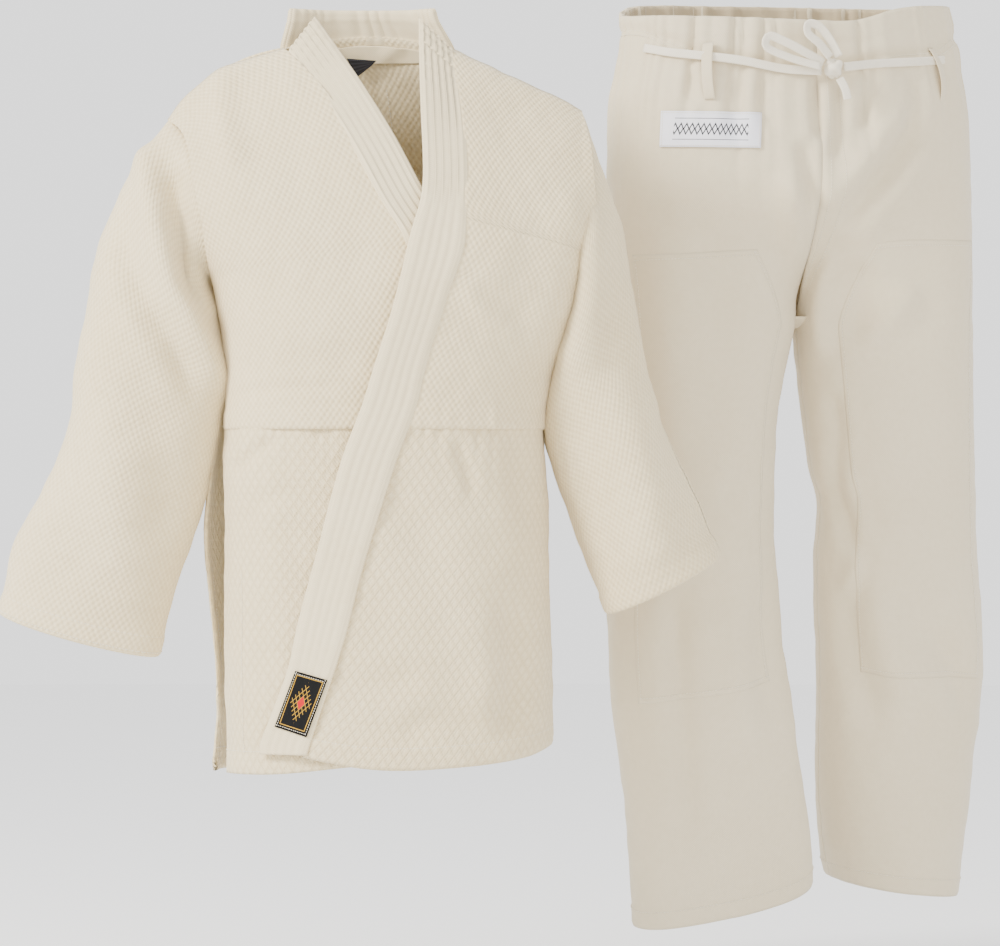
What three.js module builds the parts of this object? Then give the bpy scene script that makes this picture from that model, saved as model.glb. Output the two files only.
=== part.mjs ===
// A judo-style uniform: a wrap-over jacket with wide sleeves, and drawcord trousers beside and
// behind it. Both are shown as they hang when filled out by a body, front facing -Y, +Z up.
// The origin is the middle of the neck opening, level with the collar's top, where it is held up.
import * as THREE from 'three';

// ---- driving dimensions, in millimetres ----
const jacketHalf = 170; // half of the body's width at the waist
const jacketLength = 812; // collar top to hem
const jacketDepth = 98; // chest, middle to front
const armholeDepth = 62; // armhole, middle to front
const jacketCloth = 2.6; // thick woven cotton
const bandThick = 7; // the stitched band that edges the jacket
const air = 1.4; // air between layers of cloth
const badgeWidth = 37;
const badgeHeight = 62;
const labelThick = 1;

const trousersHalf = 195; // half of the hips' width
const trousersLength = 1018; // waist to hem
const trousersDepth = 98; // hips, middle to front
const trousersCloth = 2;
const trousersTurn = THREE.MathUtils.degToRad(16); // they face a little to one side
const casingHeight = 46;
const cordThick = 7;
const clearAisle = 82; // air between the sleeve and the trousers behind it

// ---- cloth colours ----
const cream = { color: 0xe9e0c8, roughness: 0.92, metalness: 0 };
const creamTwill = { color: 0xebe3ce, roughness: 0.88, metalness: 0 };
const tapeWhite = { color: 0xf0ead8, roughness: 0.85, metalness: 0 };
const labelBlack = { color: 0x17161a, roughness: 0.7, metalness: 0 };
const labelWhite = { color: 0xf3f3f1, roughness: 0.6, metalness: 0 };

const uniform = new THREE.Group();
const trousers = new THREE.Group();
uniform.add(trousers);

// ---- helpers ----

// A smooth value along a line, through stops of [place, value].
function profile(stops) {
  const last = stops.length - 1;
  const slope = (k) => {
    const before = stops[Math.max(0, k - 1)];
    const after = stops[Math.min(last, k + 1)];
    return (after[1] - before[1]) / (after[0] - before[0]);
  };
  return (place) => {
    const k = THREE.MathUtils.clamp(stops.findLastIndex((stop) => stop[0] <= place), 0, last - 1);
    const width = stops[k + 1][0] - stops[k][0];
    const t = THREE.MathUtils.clamp((place - stops[k][0]) / width, 0, 1);
    const start = (1 + 2 * t) * (1 - t) ** 2 * stops[k][1] + t * (1 - t) ** 2 * width * slope(k);
    const end = t * t * (3 - 2 * t) * stops[k + 1][1] + t * t * (t - 1) * width * slope(k + 1);
    return start + end;
  };
}

// A closed shell of even thickness round the surface at(u, v), u and v from 0 to 1. shift moves
// it off the surface. A ring joins u = 1 back to u = 0.
function shell(at, cols, rows, thick, { shift = 0, ring = false } = {}) {
  const step = 1e-3;
  const turn = (u) => (ring ? (u + 1) % 1 : THREE.MathUtils.clamp(u, 0, 1));
  const clip = (v) => THREE.MathUtils.clamp(v, 0, 1);
  const across = ring ? cols : cols + 1;
  const faces = [[], []];
  for (let j = 0; j <= rows; j += 1) {
    for (let i = 0; i < across; i += 1) {
      const u = i / cols;
      const v = j / rows;
      const along = at(turn(u + step), v).sub(at(turn(u - step), v));
      const down = at(turn(u), clip(v + step)).sub(at(turn(u), clip(v - step)));
      const out = along.cross(down).normalize();
      const point = at(turn(u), v);
      faces[0].push(point.clone().addScaledVector(out, shift + thick / 2));
      faces[1].push(point.clone().addScaledVector(out, shift - thick / 2));
    }
  }
  const count = faces[0].length;
  const place = (side, i, j) => side * count + j * across + (i % across);
  const index = [];
  const quad = (a, b, c, d) => index.push(a, b, c, a, c, d);
  for (let j = 0; j < rows; j += 1) {
    for (let i = 0; i < cols; i += 1) {
      quad(place(0, i, j), place(0, i + 1, j), place(0, i + 1, j + 1), place(0, i, j + 1));
      quad(place(1, i, j + 1), place(1, i + 1, j + 1), place(1, i + 1, j), place(1, i, j));
    }
  }
  for (let i = 0; i < cols; i += 1) {
    quad(place(1, i, 0), place(1, i + 1, 0), place(0, i + 1, 0), place(0, i, 0));
    quad(place(0, i, rows), place(0, i + 1, rows), place(1, i + 1, rows), place(1, i, rows));
  }
  if (!ring) {
    for (let j = 0; j < rows; j += 1) {
      quad(place(0, 0, j), place(0, 0, j + 1), place(1, 0, j + 1), place(1, 0, j));
      quad(place(1, cols, j), place(1, cols, j + 1), place(0, cols, j + 1), place(0, cols, j));
    }
  }
  const geometry = new THREE.BufferGeometry();
  geometry.setAttribute('position', new THREE.BufferAttribute(
    new Float32Array([...faces[0], ...faces[1]].flatMap((p) => p.toArray())), 3));
  geometry.setIndex(index);
  return outward(geometry);
}

// Turns every face round if the body was wound inside out.
function outward(geometry) {
  const spots = geometry.getAttribute('position');
  const index = geometry.getIndex();
  const corner = (k) => new THREE.Vector3().fromBufferAttribute(spots, index.getX(k));
  let volume = 0;
  for (let k = 0; k < index.count; k += 3) {
    volume += corner(k).dot(corner(k + 1).cross(corner(k + 2)));
  }
  if (volume < 0) {
    for (let k = 0; k < index.count; k += 3) {
      const second = index.getX(k + 1);
      index.setX(k + 1, index.getX(k + 2));
      index.setX(k + 2, second);
    }
  }
  return geometry;
}

function add(group, name, geometry, look) {
  const mesh = new THREE.Mesh(geometry, new THREE.MeshStandardMaterial(look));
  mesh.name = name;
  group.add(mesh);
  return mesh;
}

const mix = THREE.MathUtils.lerp;
const at3 = (x, y, z) => new THREE.Vector3(x, y, z);

// ---- the jacket's shape ----
// Widths are shares of jacketHalf and heights are shares of jacketLength, down from the collar.

const rightSide = profile([
  [0.15, -1.306], [0.2, -1.19], [0.27, -1.115], [0.357, -1.03], [0.44, -0.95],
  [0.53, -0.915], [0.7, -0.925], [0.85, -0.955], [1.01, -0.99],
]);
const leftSide = profile([
  [0.139, 1.288], [0.2, 1.32], [0.326, 1.305], [0.43, 1.2], [0.49, 1.105],
  [0.557, 1.047], [0.69, 1.076], [0.985, 1.112],
]);
const shoulderLine = profile([
  [-1.306, 0.15], [-1.165, 0.113], [-0.947, 0.081], [-0.571, 0.055], [-0.3, 0.04], [0, 0.036],
  [0.25, 0.042], [0.465, 0.058], [0.818, 0.091], [1.159, 0.123], [1.288, 0.139],
]);
const napeLine = profile([
  [-1.306, 0.15], [-0.947, 0.081], [-0.571, 0.052], [-0.3, -0.03], [0, -0.055],
  [0.25, -0.03], [0.465, 0.055], [0.818, 0.091], [1.288, 0.139],
]);
const depthShare = profile([
  [0.03, 0.45], [0.14, 0.68], [0.25, 0.92], [0.37, 1.04], [0.55, 0.98], [1, 1.06],
]);
const backShare = profile([
  [0.03, 0.62], [0.14, 0.84], [0.25, 0.98], [0.37, 1.02], [0.55, 0.9], [1, 1.02],
]);
const waistLine = 0.557;
const hemLine = 0.985;
const shoulderRound = 0.21;
const squareness = 2.4;
const rightArmhole = [0.15, 0.357];
const leftArmhole = [0.139, 0.326];

const armholeOpen = (height, [top, bottom]) => {
  const off = (2 * height - top - bottom) / (bottom - top);
  return armholeDepth * Math.sqrt(Math.max(0, 1 - off * off));
};

// How far the cloth stands off the middle of the body, at width share x and height share h.
function standOff(x, h, share, line, lift) {
  const side = x < 0 ? rightSide(h) : leftSide(h);
  const depth = share(h) * jacketDepth + lift;
  const open = Math.min(0.98, armholeOpen(h, x < 0 ? rightArmhole : leftArmhole) / depth) ** squareness;
  const near = Math.min(1, x / side) ** squareness;
  const below = THREE.MathUtils.clamp((h - line(x)) / shoulderRound, 0, 1);
  const rounding = Math.sqrt(1 - (1 - below) ** 2);
  return depth * ((1 - near) * (1 - open) + open) ** (1 / squareness) * rounding;
}

const seamGap = 1.5; // between two panels' edges
const onFront = (x, h, lift) =>
  at3(x * jacketHalf, -standOff(x, h, depthShare, shoulderLine, lift) - seamGap, -h * jacketLength);
const onBack = (x, h) =>
  at3(x * jacketHalf, standOff(x, h, backShare, napeLine, 0) + seamGap, -h * jacketLength);

// The two front edges. The under edge belongs to the wearer's right front, the over edge to the left.
const underSeam = profile([
  [0.055, -0.576], [0.14, -0.26], [0.26, 0.065], [0.31, 0.21], [0.43, 0.365], [0.557, 0.447], [0.985, 0.54],
]);
const overSeam = profile([
  [0.055, 0.465], [0.16, 0.55], [0.31, 0.55], [0.39, 0.44], [0.54, 0.24], [0.685, 0], [0.985, -0.45],
]);
const overFree = profile([
  [0.005, 0.288], [0.243, 0.312], [0.31, 0.23], [0.41, 0.12], [0.53, -0.055], [0.73, -0.36], [0.97, -0.72],
]);
// The line that the over flap turns back on, from the crossing of the collar down to the hem.
const flapHinge = (h) => mix(0.437, 0.808, (h - 0.241) / (0.991 - 0.241));

const edge = seamGap / jacketHalf;
const underLift = 0;
const overLift = bandThick + jacketCloth + 3 * air;
const bandLift = (bandThick - jacketCloth) / 2;

// A front panel between two upright edges, sides(h) and inner(h), from height top to height bottom.
function frontPanel(outer, inner, bottom, outerTop, innerTop, lift, toShoulder = true) {
  return (u, v) => {
    const outerH = mix(bottom, outerTop, v);
    const innerH = mix(bottom, innerTop, v);
    const ease = 1 - Math.cos((u * Math.PI) / 2);
    const x = mix(outer(outerH), inner(innerH), ease);
    const rise = toShoulder ? v * v * (shoulderLine(x) - mix(outerTop, innerTop, ease)) : 0;
    return onFront(x, mix(outerH, innerH, ease) + rise, lift);
  };
}

function addJacketBody() {
  const seam = (line) => (h) => line(h) - edge;
  const pastSeam = (line) => (h) => line(h) + edge;
  const bodyHem = waistLine - seamGap / jacketLength;
  const skirtTop = waistLine + seamGap / jacketLength;
  const cloth = (at, cols, rows) => shell(at, cols, rows, jacketCloth);

  add(uniform, 'right_front_body', cloth(
    frontPanel(rightSide, seam(underSeam), bodyHem, rightArmhole[0], 0.055, underLift), 10, 9), cream);
  add(uniform, 'left_front_body', cloth(
    frontPanel(leftSide, (h) => Math.max(pastSeam(overSeam)(h), pastSeam(flapHinge)(h)),
      bodyHem, leftArmhole[0], 0.058, overLift), 9, 9), cream);
  const underHem = hemLine + 0.02; // the under front hangs a little lower
  add(uniform, 'right_front_skirt', cloth(
    frontPanel(rightSide, seam(underSeam), underHem, skirtTop, skirtTop, underLift, false), 10, 6), cream);
  add(uniform, 'left_front_skirt', cloth(
    frontPanel(leftSide, pastSeam(flapHinge), hemLine, skirtTop, skirtTop, overLift, false), 5, 6), cream);

  const flapTop = 0.405;
  add(uniform, 'left_flap_body', cloth((u, v) => {
    const h = mix(bodyHem, flapTop, v);
    return onFront(mix(overSeam(h) + edge, flapHinge(h) - edge, u), h, overLift);
  }, 3, 4), cream);
  add(uniform, 'left_flap_skirt', cloth((u, v) => {
    const h = mix(hemLine, skirtTop, v);
    return onFront(mix(overSeam(h) + edge, flapHinge(h) - edge, u), h, overLift);
  }, 6, 6), cream);

  // The back runs from one side edge to the other, up to the shoulders and nape or to a level top.
  const backPanel = (bottom, top, cols, rows) => cloth((u, v) => {
    const across = 0.5 - 0.5 * Math.cos(u * Math.PI);
    const rightTop = top ?? rightArmhole[0];
    const leftTop = top ?? leftArmhole[0];
    const rightH = mix(bottom, rightTop, v);
    const leftH = mix(bottom, leftTop, v);
    const x = mix(rightSide(rightH), leftSide(leftH), across);
    const rise = top ? 0 : v * v * (shoulderLine(x) - mix(rightTop, leftTop, across));
    return onBack(x, mix(rightH, leftH, across) + rise);
  }, cols, rows);
  add(uniform, 'back_body', backPanel(bodyHem, null, 16, 8), cream);
  add(uniform, 'back_skirt', backPanel(hemLine, skirtTop, 14, 5), cream);
}


// ---- the collar band, in the stretches that it bends between ----

const underFree = profile([
  [0, -0.44], [0.055, -0.24], [0.16, 0.082], [0.243, 0.294],
  [0.31, 0.49], [0.43, 0.645], [0.557, 0.727], [0.985, 0.82],
]);

// Where the band's free edge lies, level with height h on its seam: higher, near the neck.
const freeHeight = (h) => h - 0.05 * (1 - THREE.MathUtils.smoothstep(h, 0.055, 0.3));

function bandStretch(seam, free, top, bottom, lift) {
  return (u, v) => {
    const h = mix(top, bottom, v);
    const seamPoint = onFront(seam(h), h, lift);
    const freePoint = onFront(free(freeHeight(h)), freeHeight(h), lift);
    return seamPoint.lerp(freePoint, u);
  };
}

const bandTop = 0.075; // where the front bands take over from the collar's back
const bandCross = 0.395; // where the turning flap's band parts from the collar
const bandEnd = 0.975;

function addCollar() {
  const inside = (line, tuck) => (h) => line(h) + tuck;
  const underTuck = 5 * edge; // clear of the under front, whose cloth curves away from it
  const overTuck = -2 * edge;
  const band = (at, rows) => shell(at, 2, rows, bandThick);
  const underBand = inside(underSeam, underTuck);
  const overBand = inside(overSeam, overTuck);
  const underBandEnd = hemLine + 0.005;
  add(uniform, 'collar_right', band(
    bandStretch(underBand, underFree, bandTop, underBandEnd, underLift + bandLift), 14), creamTwill);
  add(uniform, 'collar_left_upper', band(
    bandStretch(overBand, overFree, bandTop, bandCross, overLift + bandLift), 7), creamTwill);
  add(uniform, 'collar_left_lower', band(
    bandStretch(overBand, overFree, bandCross + edge / 2, bandEnd, overLift + bandLift), 9), creamTwill);
  add(uniform, 'collar_back', band((u, v) => {
    const x = mix(-0.571, 0.465, 0.5 - 0.5 * Math.cos(v * Math.PI));
    const foot = onBack(x, shoulderLine(x) - edge);
    const brim = foot.clone().multiply(at3(0.8, 0.86, 0));
    brim.x -= 8;
    brim.z = -1;
    return foot.lerp(brim, u);
  }, 12), creamTwill);
}

// ---- the small pieces on the jacket ----

function addJacketTrim() {
  const badgeAt = bandStretch(overSeam, overFree, 0, 1, overLift + bandLift);
  const badgeH = 0.912; // the badge's height on the band
  const middle = badgeAt(0.5, badgeH);
  const across = badgeAt(0, badgeH).sub(badgeAt(1, badgeH)).normalize();
  const along = badgeAt(0.5, badgeH - 0.03).sub(badgeAt(0.5, badgeH + 0.03)).normalize();
  const out = across.clone().cross(along).normalize();
  across.crossVectors(along, out);
  const plate = new THREE.BoxGeometry(badgeWidth, badgeHeight, labelThick);
  const badge = add(uniform, 'lapel_badge', plate, labelBlack);
  badge.setRotationFromMatrix(new THREE.Matrix4().makeBasis(across, along, out));
  badge.position.copy(middle).addScaledVector(out, bandThick / 2 + labelThick / 2 + 1.5 * air);

  const lined = (thick) => ({ shift: -(jacketCloth + thick) / 2 - 4 * air });
  const liningCloth = jacketCloth / 2;
  add(uniform, 'neck_label', shell((u, v) => onBack(mix(-0.17, 0, u), mix(0.073, 0.096, v)),
    3, 2, labelThick, lined(labelThick)), labelBlack);
  add(uniform, 'back_yoke', shell((u, v) => {
    const x = mix(-0.34, 0.26, u);
    return onBack(x, mix(shoulderLine(x) + 0.014, 0.069, v));
  }, 12, 2, liningCloth, lined(liningCloth)), creamTwill);
}

// ---- sleeves: rings between an outer and an inner edge, from the armhole to the cuff ----

const edgeCurve = (stops) => new THREE.CatmullRomCurve3(
  stops.map(([x, h]) => at3(x * jacketHalf, 0, -h * jacketLength)));

const sleeves = {
  right_sleeve: {
    outer: edgeCurve([[-1.34, 0.148], [-1.75, 0.334], [-1.89, 0.53], [-2.28, 0.714], [-2.36, 0.797]]),
    inner: edgeCurve([[-1.075, 0.365], [-0.995, 0.44], [-0.965, 0.53], [-1.206, 0.739], [-1.37, 0.853]]),
    fullness: profile([[0, 1], [0.3, 0.98], [0.6, 0.84], [1, 0.68]]),
  },
  left_sleeve: {
    outer: edgeCurve([[1.33, 0.137], [1.553, 0.302], [1.706, 0.486], [2.03, 0.653], [2.159, 0.722]]),
    inner: edgeCurve([[1.365, 0.325], [1.247, 0.431], [1.135, 0.545], [1.329, 0.727], [1.447, 0.797]]),
    fullness: profile([[0, 1], [0.3, 1], [0.6, 0.92], [1, 0.86]]),
  },
};

function sleeveAt({ outer, inner, fullness }) {
  return (u, v) => {
    const far = outer.getPoint(v);
    const near = inner.getPoint(v);
    const angle = u * Math.PI * 2;
    const point = far.clone().add(near).multiplyScalar(0.5);
    point.addScaledVector(far.sub(near), 0.5 * Math.cos(angle));
    point.y = -armholeDepth * fullness(v) * Math.sin(angle);
    return point;
  };
}

function addSleeves() {
  for (const [name, sleeve] of Object.entries(sleeves)) {
    add(uniform, name, shell(sleeveAt(sleeve), 16, 9, jacketCloth, { ring: true }), cream);
  }
}

// ---- the trousers' shape, in their own upright frame with the waist's middle at its origin ----
// Widths are shares of trousersHalf, depths of trousersDepth, heights of trousersLength downwards.

const hipWidth = profile([[0, 0.94], [0.08, 1], [0.14, 1.02], [0.33, 1.03]]);
const hipDepth = profile([[0, 0.9], [0.14, 1.05], [0.33, 1]]);
const forkLine = 0.325; // where the legs part
const hipHem = forkLine - 0.007; // the hips stop short of the legs, which swing inside them
const legTop = forkLine + 0.013;
const waistTop = (angle) => -0.012 * (1 + Math.cos(angle)); // the back of the waist stands higher
const frontSeam = 0.08; // the fly's seam lies to one side of the middle

// A point on the hips. The angle is 0 in the middle of the back and goes round by the right.
function hipAt(angle, h, lift = 0) {
  const power = (value) => Math.sign(value) * Math.abs(value) ** (2 / 2.3);
  const pinch = 0.7 * THREE.MathUtils.smoothstep(h, 0.22, forkLine);
  const x = -power(Math.sin(angle)) * (hipWidth(h) * trousersHalf + lift);
  const y = power(Math.cos(angle)) * (hipDepth(h) * trousersDepth + lift);
  const fork = 1 - pinch * Math.exp(-((x / (0.22 * trousersHalf)) ** 2));
  return at3(x, y * fork, -h * trousersLength);
}

const legs = {
  right: {
    middle: profile([
      [0.33, -0.525], [0.52, -0.565], [0.63, -0.56], [0.74, -0.515], [0.85, -0.42], [1, -0.39],
    ]),
    back: profile([[0.33, 0], [1, 0]]),
    width: profile([[0.33, 0.455], [0.42, 0.475], [0.52, 0.465], [0.63, 0.475], [0.74, 0.505], [1, 0.51]]),
    depth: profile([[0.33, 0.75], [0.42, 0.77], [0.52, 0.68], [0.74, 0.6], [1, 0.48]]),
    hemTilt: 0.026,
    hem: 0.962,
  },
  left: {
    middle: profile([[0.33, 0.55], [0.52, 0.63], [0.63, 0.69], [0.74, 0.73], [0.85, 0.755], [1, 0.8]]),
    back: profile([[0.33, 0], [0.52, 0.02], [0.63, 0.17], [0.74, 0.42], [0.85, 0.68], [1, 0.88]]),
    width: profile([
      [0.33, 0.45], [0.42, 0.46], [0.52, 0.44], [0.63, 0.44], [0.74, 0.44], [0.85, 0.41], [1, 0.36],
    ]),
    depth: profile([[0.33, 0.75], [0.42, 0.77], [0.52, 0.68], [0.74, 0.68], [1, 0.78]]),
    hemTilt: 0.004,
    hem: 0.958,
  },
};

function legAt({ middle, back, width, depth, hemTilt, hem }) {
  return (angle, h) => {
    const tilt = hemTilt * THREE.MathUtils.smoothstep(h, 0.7, hem);
    const x = -Math.sin(angle);
    return at3(
      (middle(h) + x * width(h)) * trousersHalf,
      (back(h) + Math.cos(angle) * depth(h)) * trousersDepth,
      (-h + tilt * x) * trousersLength,
    );
  };
}

const patchSpread = 0.34; // the knee patch goes this far round the leg, each way from its front
const patchTop = 0.36;
const patchBottom = 0.74;

function addTrouserCloth() {
  const cloth = (at, cols, rows, more) => shell(at, cols, rows, trousersCloth, more);
  const seam = 0.008;
  const half = (from, to) => (u, v) => {
    const angle = mix(from, to, u);
    return hipAt(angle, mix(waistTop(angle), hipHem, v));
  };
  const front = Math.PI - frontSeam;
  add(trousers, 'right_hip', cloth(half(seam, front - seam), 14, 7), creamTwill);
  add(trousers, 'left_hip', cloth(half(front + seam, Math.PI * 2 - seam), 14, 7), creamTwill);
  add(trousers, 'waist_casing', shell((u, v) => {
    const angle = u * Math.PI * 2;
    const drop = mix(0.002, casingHeight / trousersLength, v);
    return hipAt(angle, waistTop(angle) + drop, -trousersCloth - air);
  }, 24, 1, trousersCloth, { ring: true }), creamTwill);
  for (const [side, leg] of Object.entries(legs)) {
    const at = legAt(leg);
    add(trousers, `${side}_leg`, cloth((u, v) => at(u * Math.PI * 2, mix(legTop, leg.hem, v)),
      18, 11, { ring: true }), creamTwill);
    const patchAt = (u, v) =>
      at(Math.PI * mix(1 - patchSpread, 1 + patchSpread, u), mix(patchTop, patchBottom, v));
    add(trousers, `${side}_knee_patch`, shell(patchAt, 6, 7, trousersCloth,
      { shift: -trousersCloth - air }), creamTwill);
  }
  add(trousers, 'crotch_gusset', cloth((u, v) => {
    const x = mix(-0.05, 0.05, u) * trousersHalf;
    const y = mix(-0.2, 0.2, v) * trousersDepth;
    return at3(x, y, -(forkLine - 0.025) * trousersLength);
  }, 3, 4), creamTwill);
}

// ---- the drawcord: out of the casing at each side, through a loop, to the bow at the front ----

const cordClear = 2.5; // between the cord and the cloth that it lies on
const cordOff = cordThick / 2 + cordClear; // the cord's middle, off the cloth
const onWaist = (angle, drop) => hipAt(angle, drop / trousersLength, cordOff);

function cordTube(points) {
  const path = new THREE.CatmullRomCurve3(points);
  const section = new THREE.Shape();
  section.absarc(0, 0, cordThick / 2, 0, Math.PI * 2);
  const steps = Math.max(4, Math.round(path.getLength() / (2.4 * cordThick)));
  return new THREE.ExtrudeGeometry(section, { extrudePath: path, steps, curveSegments: 8 });
}

function addDrawcord() {
  const knot = onWaist(Math.PI + 0.058, 53).add(at3(0, -8, 0));
  const by = (x, y, z) => knot.clone().add(at3(x, y, z));
  add(trousers, 'drawcord_right', cordTube([
    onWaist(1.98, 30), onWaist(2.25, 36), onWaist(2.5, 40), onWaist(2.75, 45), onWaist(3, 54),
    by(-13, 2, -3),
  ]), tapeWhite);
  add(trousers, 'drawcord_left', cordTube([
    onWaist(4.33, 34), onWaist(4.05, 38), onWaist(3.75, 42), onWaist(3.45, 46), by(13, 2, 2),
  ]), tapeWhite);
  add(trousers, 'bow_loop_right', cordTube([
    by(-12, -2, 6), by(-34, -7, 16), by(-60, -8, 28), by(-77, -7, 33), by(-80, -6, 23), by(-55, -7, 11),
    by(-17, -8, 1),
  ]), tapeWhite);
  add(trousers, 'bow_loop_left', cordTube([
    by(-5, -4, 12), by(-19, -9, 26), by(-33, -10, 38), by(-32, -9, 47), by(-21, -8, 46), by(-7, -6, 32),
    by(5, -4, 13),
  ]), tapeWhite);
  add(trousers, 'drawcord_tail', cordTube([by(6, -4, -11), by(11, -7, -22), by(14, -8, -34)]), tapeWhite);
  const knotRadius = 9;
  const knotBall = new THREE.SphereGeometry(knotRadius, 12, 8);
  knotBall.scale(1, 0.8, 0.9); // wider than it is deep or high
  add(trousers, 'drawcord_knot', knotBall, tapeWhite).position.copy(knot);
}

// ---- belt loops and the woven label ----

const loopTop = 20; // below the waist's top, as the label's are
const loopBottom = 84;
const labelTop = 102;
const labelBottom = 146;

function addTrouserTrim() {
  const loopCloth = 1.4;
  const seat = trousersCloth / 2 + loopCloth / 2 + air / 2; // off the hips' middle, to where a loop is sewn
  const loop = (angle) => shell((u, v) => {
    const arch = Math.sin(v * Math.PI) ** 0.6;
    const lift = 1.2 + seat + arch * (cordOff + cordThick / 2 + 1.2);
    return hipAt(angle + (u - 0.5) * 0.075 + v * 0.03, mix(loopTop, loopBottom, v) / trousersLength, lift);
  }, 1, 10, loopCloth);
  add(trousers, 'right_belt_loop', loop(2.53), creamTwill);
  add(trousers, 'left_belt_loop', loop(3.97), creamTwill);
  const labelLift = trousersCloth / 2 + labelThick / 2 + 1.1;
  const labelAt = (u, v) => hipAt(
    mix(2.16, 2.88, u), mix(labelTop, labelBottom, v) / trousersLength, labelLift);
  add(trousers, 'woven_label', shell(labelAt, 8, 2, labelThick), labelWhite);
}

addJacketBody();
addCollar();
addJacketTrim();
addSleeves();
addTrouserCloth();
addDrawcord();
addTrouserTrim();
trousers.rotation.z = trousersTurn;
trousers.position.set(2.65 * jacketHalf, armholeDepth + trousersDepth + clearAisle, -0.004 * jacketLength);

export default uniform;
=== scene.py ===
# %% [markdown]
# A judo uniform: a wrap-over jacket and, a little behind it, the drawcord trousers. Every piece of
# cloth here is a thin shell with two faces and a turned edge, laid over the part's own frame, which
# holds the sizes. Cloth can be draped by simulation, but a garment's cut, such as the slant of its
# front edges, has to come out right, so the cut is drawn first and the folds are pressed into it.

# %% the frame and the tools
import math
import bpy
import numpy as np
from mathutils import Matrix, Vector
from mathutils.bvhtree import BVHTree


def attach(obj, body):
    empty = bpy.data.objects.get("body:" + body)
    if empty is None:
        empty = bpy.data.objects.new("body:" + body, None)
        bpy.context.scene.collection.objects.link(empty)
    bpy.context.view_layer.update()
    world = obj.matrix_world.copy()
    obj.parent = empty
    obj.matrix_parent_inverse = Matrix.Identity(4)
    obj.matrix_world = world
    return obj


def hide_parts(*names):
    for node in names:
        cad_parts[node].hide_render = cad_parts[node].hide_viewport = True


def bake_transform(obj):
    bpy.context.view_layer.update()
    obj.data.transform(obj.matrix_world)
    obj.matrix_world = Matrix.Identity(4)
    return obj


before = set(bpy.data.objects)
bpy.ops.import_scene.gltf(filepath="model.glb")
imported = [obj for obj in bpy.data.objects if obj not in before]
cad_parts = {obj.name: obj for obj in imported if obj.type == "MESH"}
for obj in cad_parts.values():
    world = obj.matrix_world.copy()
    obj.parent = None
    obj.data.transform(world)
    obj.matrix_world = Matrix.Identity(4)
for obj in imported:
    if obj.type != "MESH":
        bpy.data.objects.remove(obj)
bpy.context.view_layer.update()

# %% [markdown]
# The camera stands well back, level with the middle of the clothes, with a long lens, so the hems stay
# flat and the two garments keep their true sizes.

# %% camera
view_width = 1.067
camera_away = 6.0
camera = bpy.data.objects.new("camera", bpy.data.cameras.new("camera"))
camera.data.sensor_width = 36
camera.data.lens = camera.data.sensor_width * camera_away / view_width
camera.location = (0.1323, -camera_away, -0.4983)
camera.rotation_euler = (math.pi / 2, 0, 0)
bpy.context.scene.collection.objects.link(camera)
bpy.context.scene.camera = camera

# %% [markdown]
# Small helpers do most of the drawing. A profile is a smooth value along a line, and a superellipse's
# power makes a round section squarer. smoothstep eases from 0 to 1.

# %% profiles
def profile(*stops):
    """A smooth value along a line, through stops of (place, value)."""
    places = np.array([stop[0] for stop in stops], float)
    values = np.array([stop[1] for stop in stops], float)
    slopes = np.empty_like(values)
    slopes[1:-1] = (values[2:] - values[:-2]) / (places[2:] - places[:-2])
    slopes[0] = (values[1] - values[0]) / (places[1] - places[0])
    slopes[-1] = (values[-1] - values[-2]) / (places[-1] - places[-2])

    def value(place):
        place = np.asarray(place, float)
        k = np.clip(np.searchsorted(places, place, side="right") - 1, 0, len(places) - 2)
        width = places[k + 1] - places[k]
        t = np.clip((place - places[k]) / width, 0, 1)
        start = (1 + 2 * t) * (1 - t) ** 2 * values[k] + t * (1 - t) ** 2 * width * slopes[k]
        end = t * t * (3 - 2 * t) * values[k + 1] + t * t * (t - 1) * width * slopes[k + 1]
        return start + end

    return value


def mix(a, b, t):
    return a + (b - a) * t


def smoothstep(low, high, value):
    t = np.clip((value - low) / (high - low), 0, 1)
    return t * t * (3 - 2 * t)


def power(value, exponent):
    return np.sign(value) * np.abs(value) ** exponent


# %% [markdown]
# The drawcord comes first, because everything else is placed round it. It is a flat woven tape. It
# leaves its casing at each side, passes a belt loop and meets the other end in a bow at the front.
# The trousers face a little to one side, so their own upright frame is turned about the waist.

# %% the trousers' frame
trousers_turn = math.radians(16)
turn_cos = math.cos(trousers_turn)
turn_sin = math.sin(trousers_turn)
trousers_place = (0.4505, 0.242, -0.00325)
trousers_half = 0.195
trousers_depth = 0.098
trousers_length = 1.018
hip_width = profile((0, 0.94), (0.08, 1), (0.14, 1.02), (0.33, 1.03))
hip_depth = profile((0, 0.9), (0.14, 1.05), (0.33, 1))


def turned(x, y, z):
    """A point of the trousers' own frame, in the uniform's frame."""
    return (trousers_place[0] + x * turn_cos - y * turn_sin,
            trousers_place[1] + x * turn_sin + y * turn_cos, trousers_place[2] + z)


def on_waist(angle, drop, off=0.006):
    """A point off the front of the hips. The angle is 0 at the back and goes round by the right."""
    h = drop / trousers_length
    x = -power(math.sin(angle), 2 / 2.3) * (hip_width(h) * trousers_half + off)
    y = power(math.cos(angle), 2 / 2.3) * (hip_depth(h) * trousers_depth + off)
    return np.array([x, y, -drop])


# %% the drawcord's routes
knot = on_waist(math.pi + 0.058, 0.053) + (0, -0.008, 0)


def by(x, y, z):
    return knot + (x, y, z)


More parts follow.
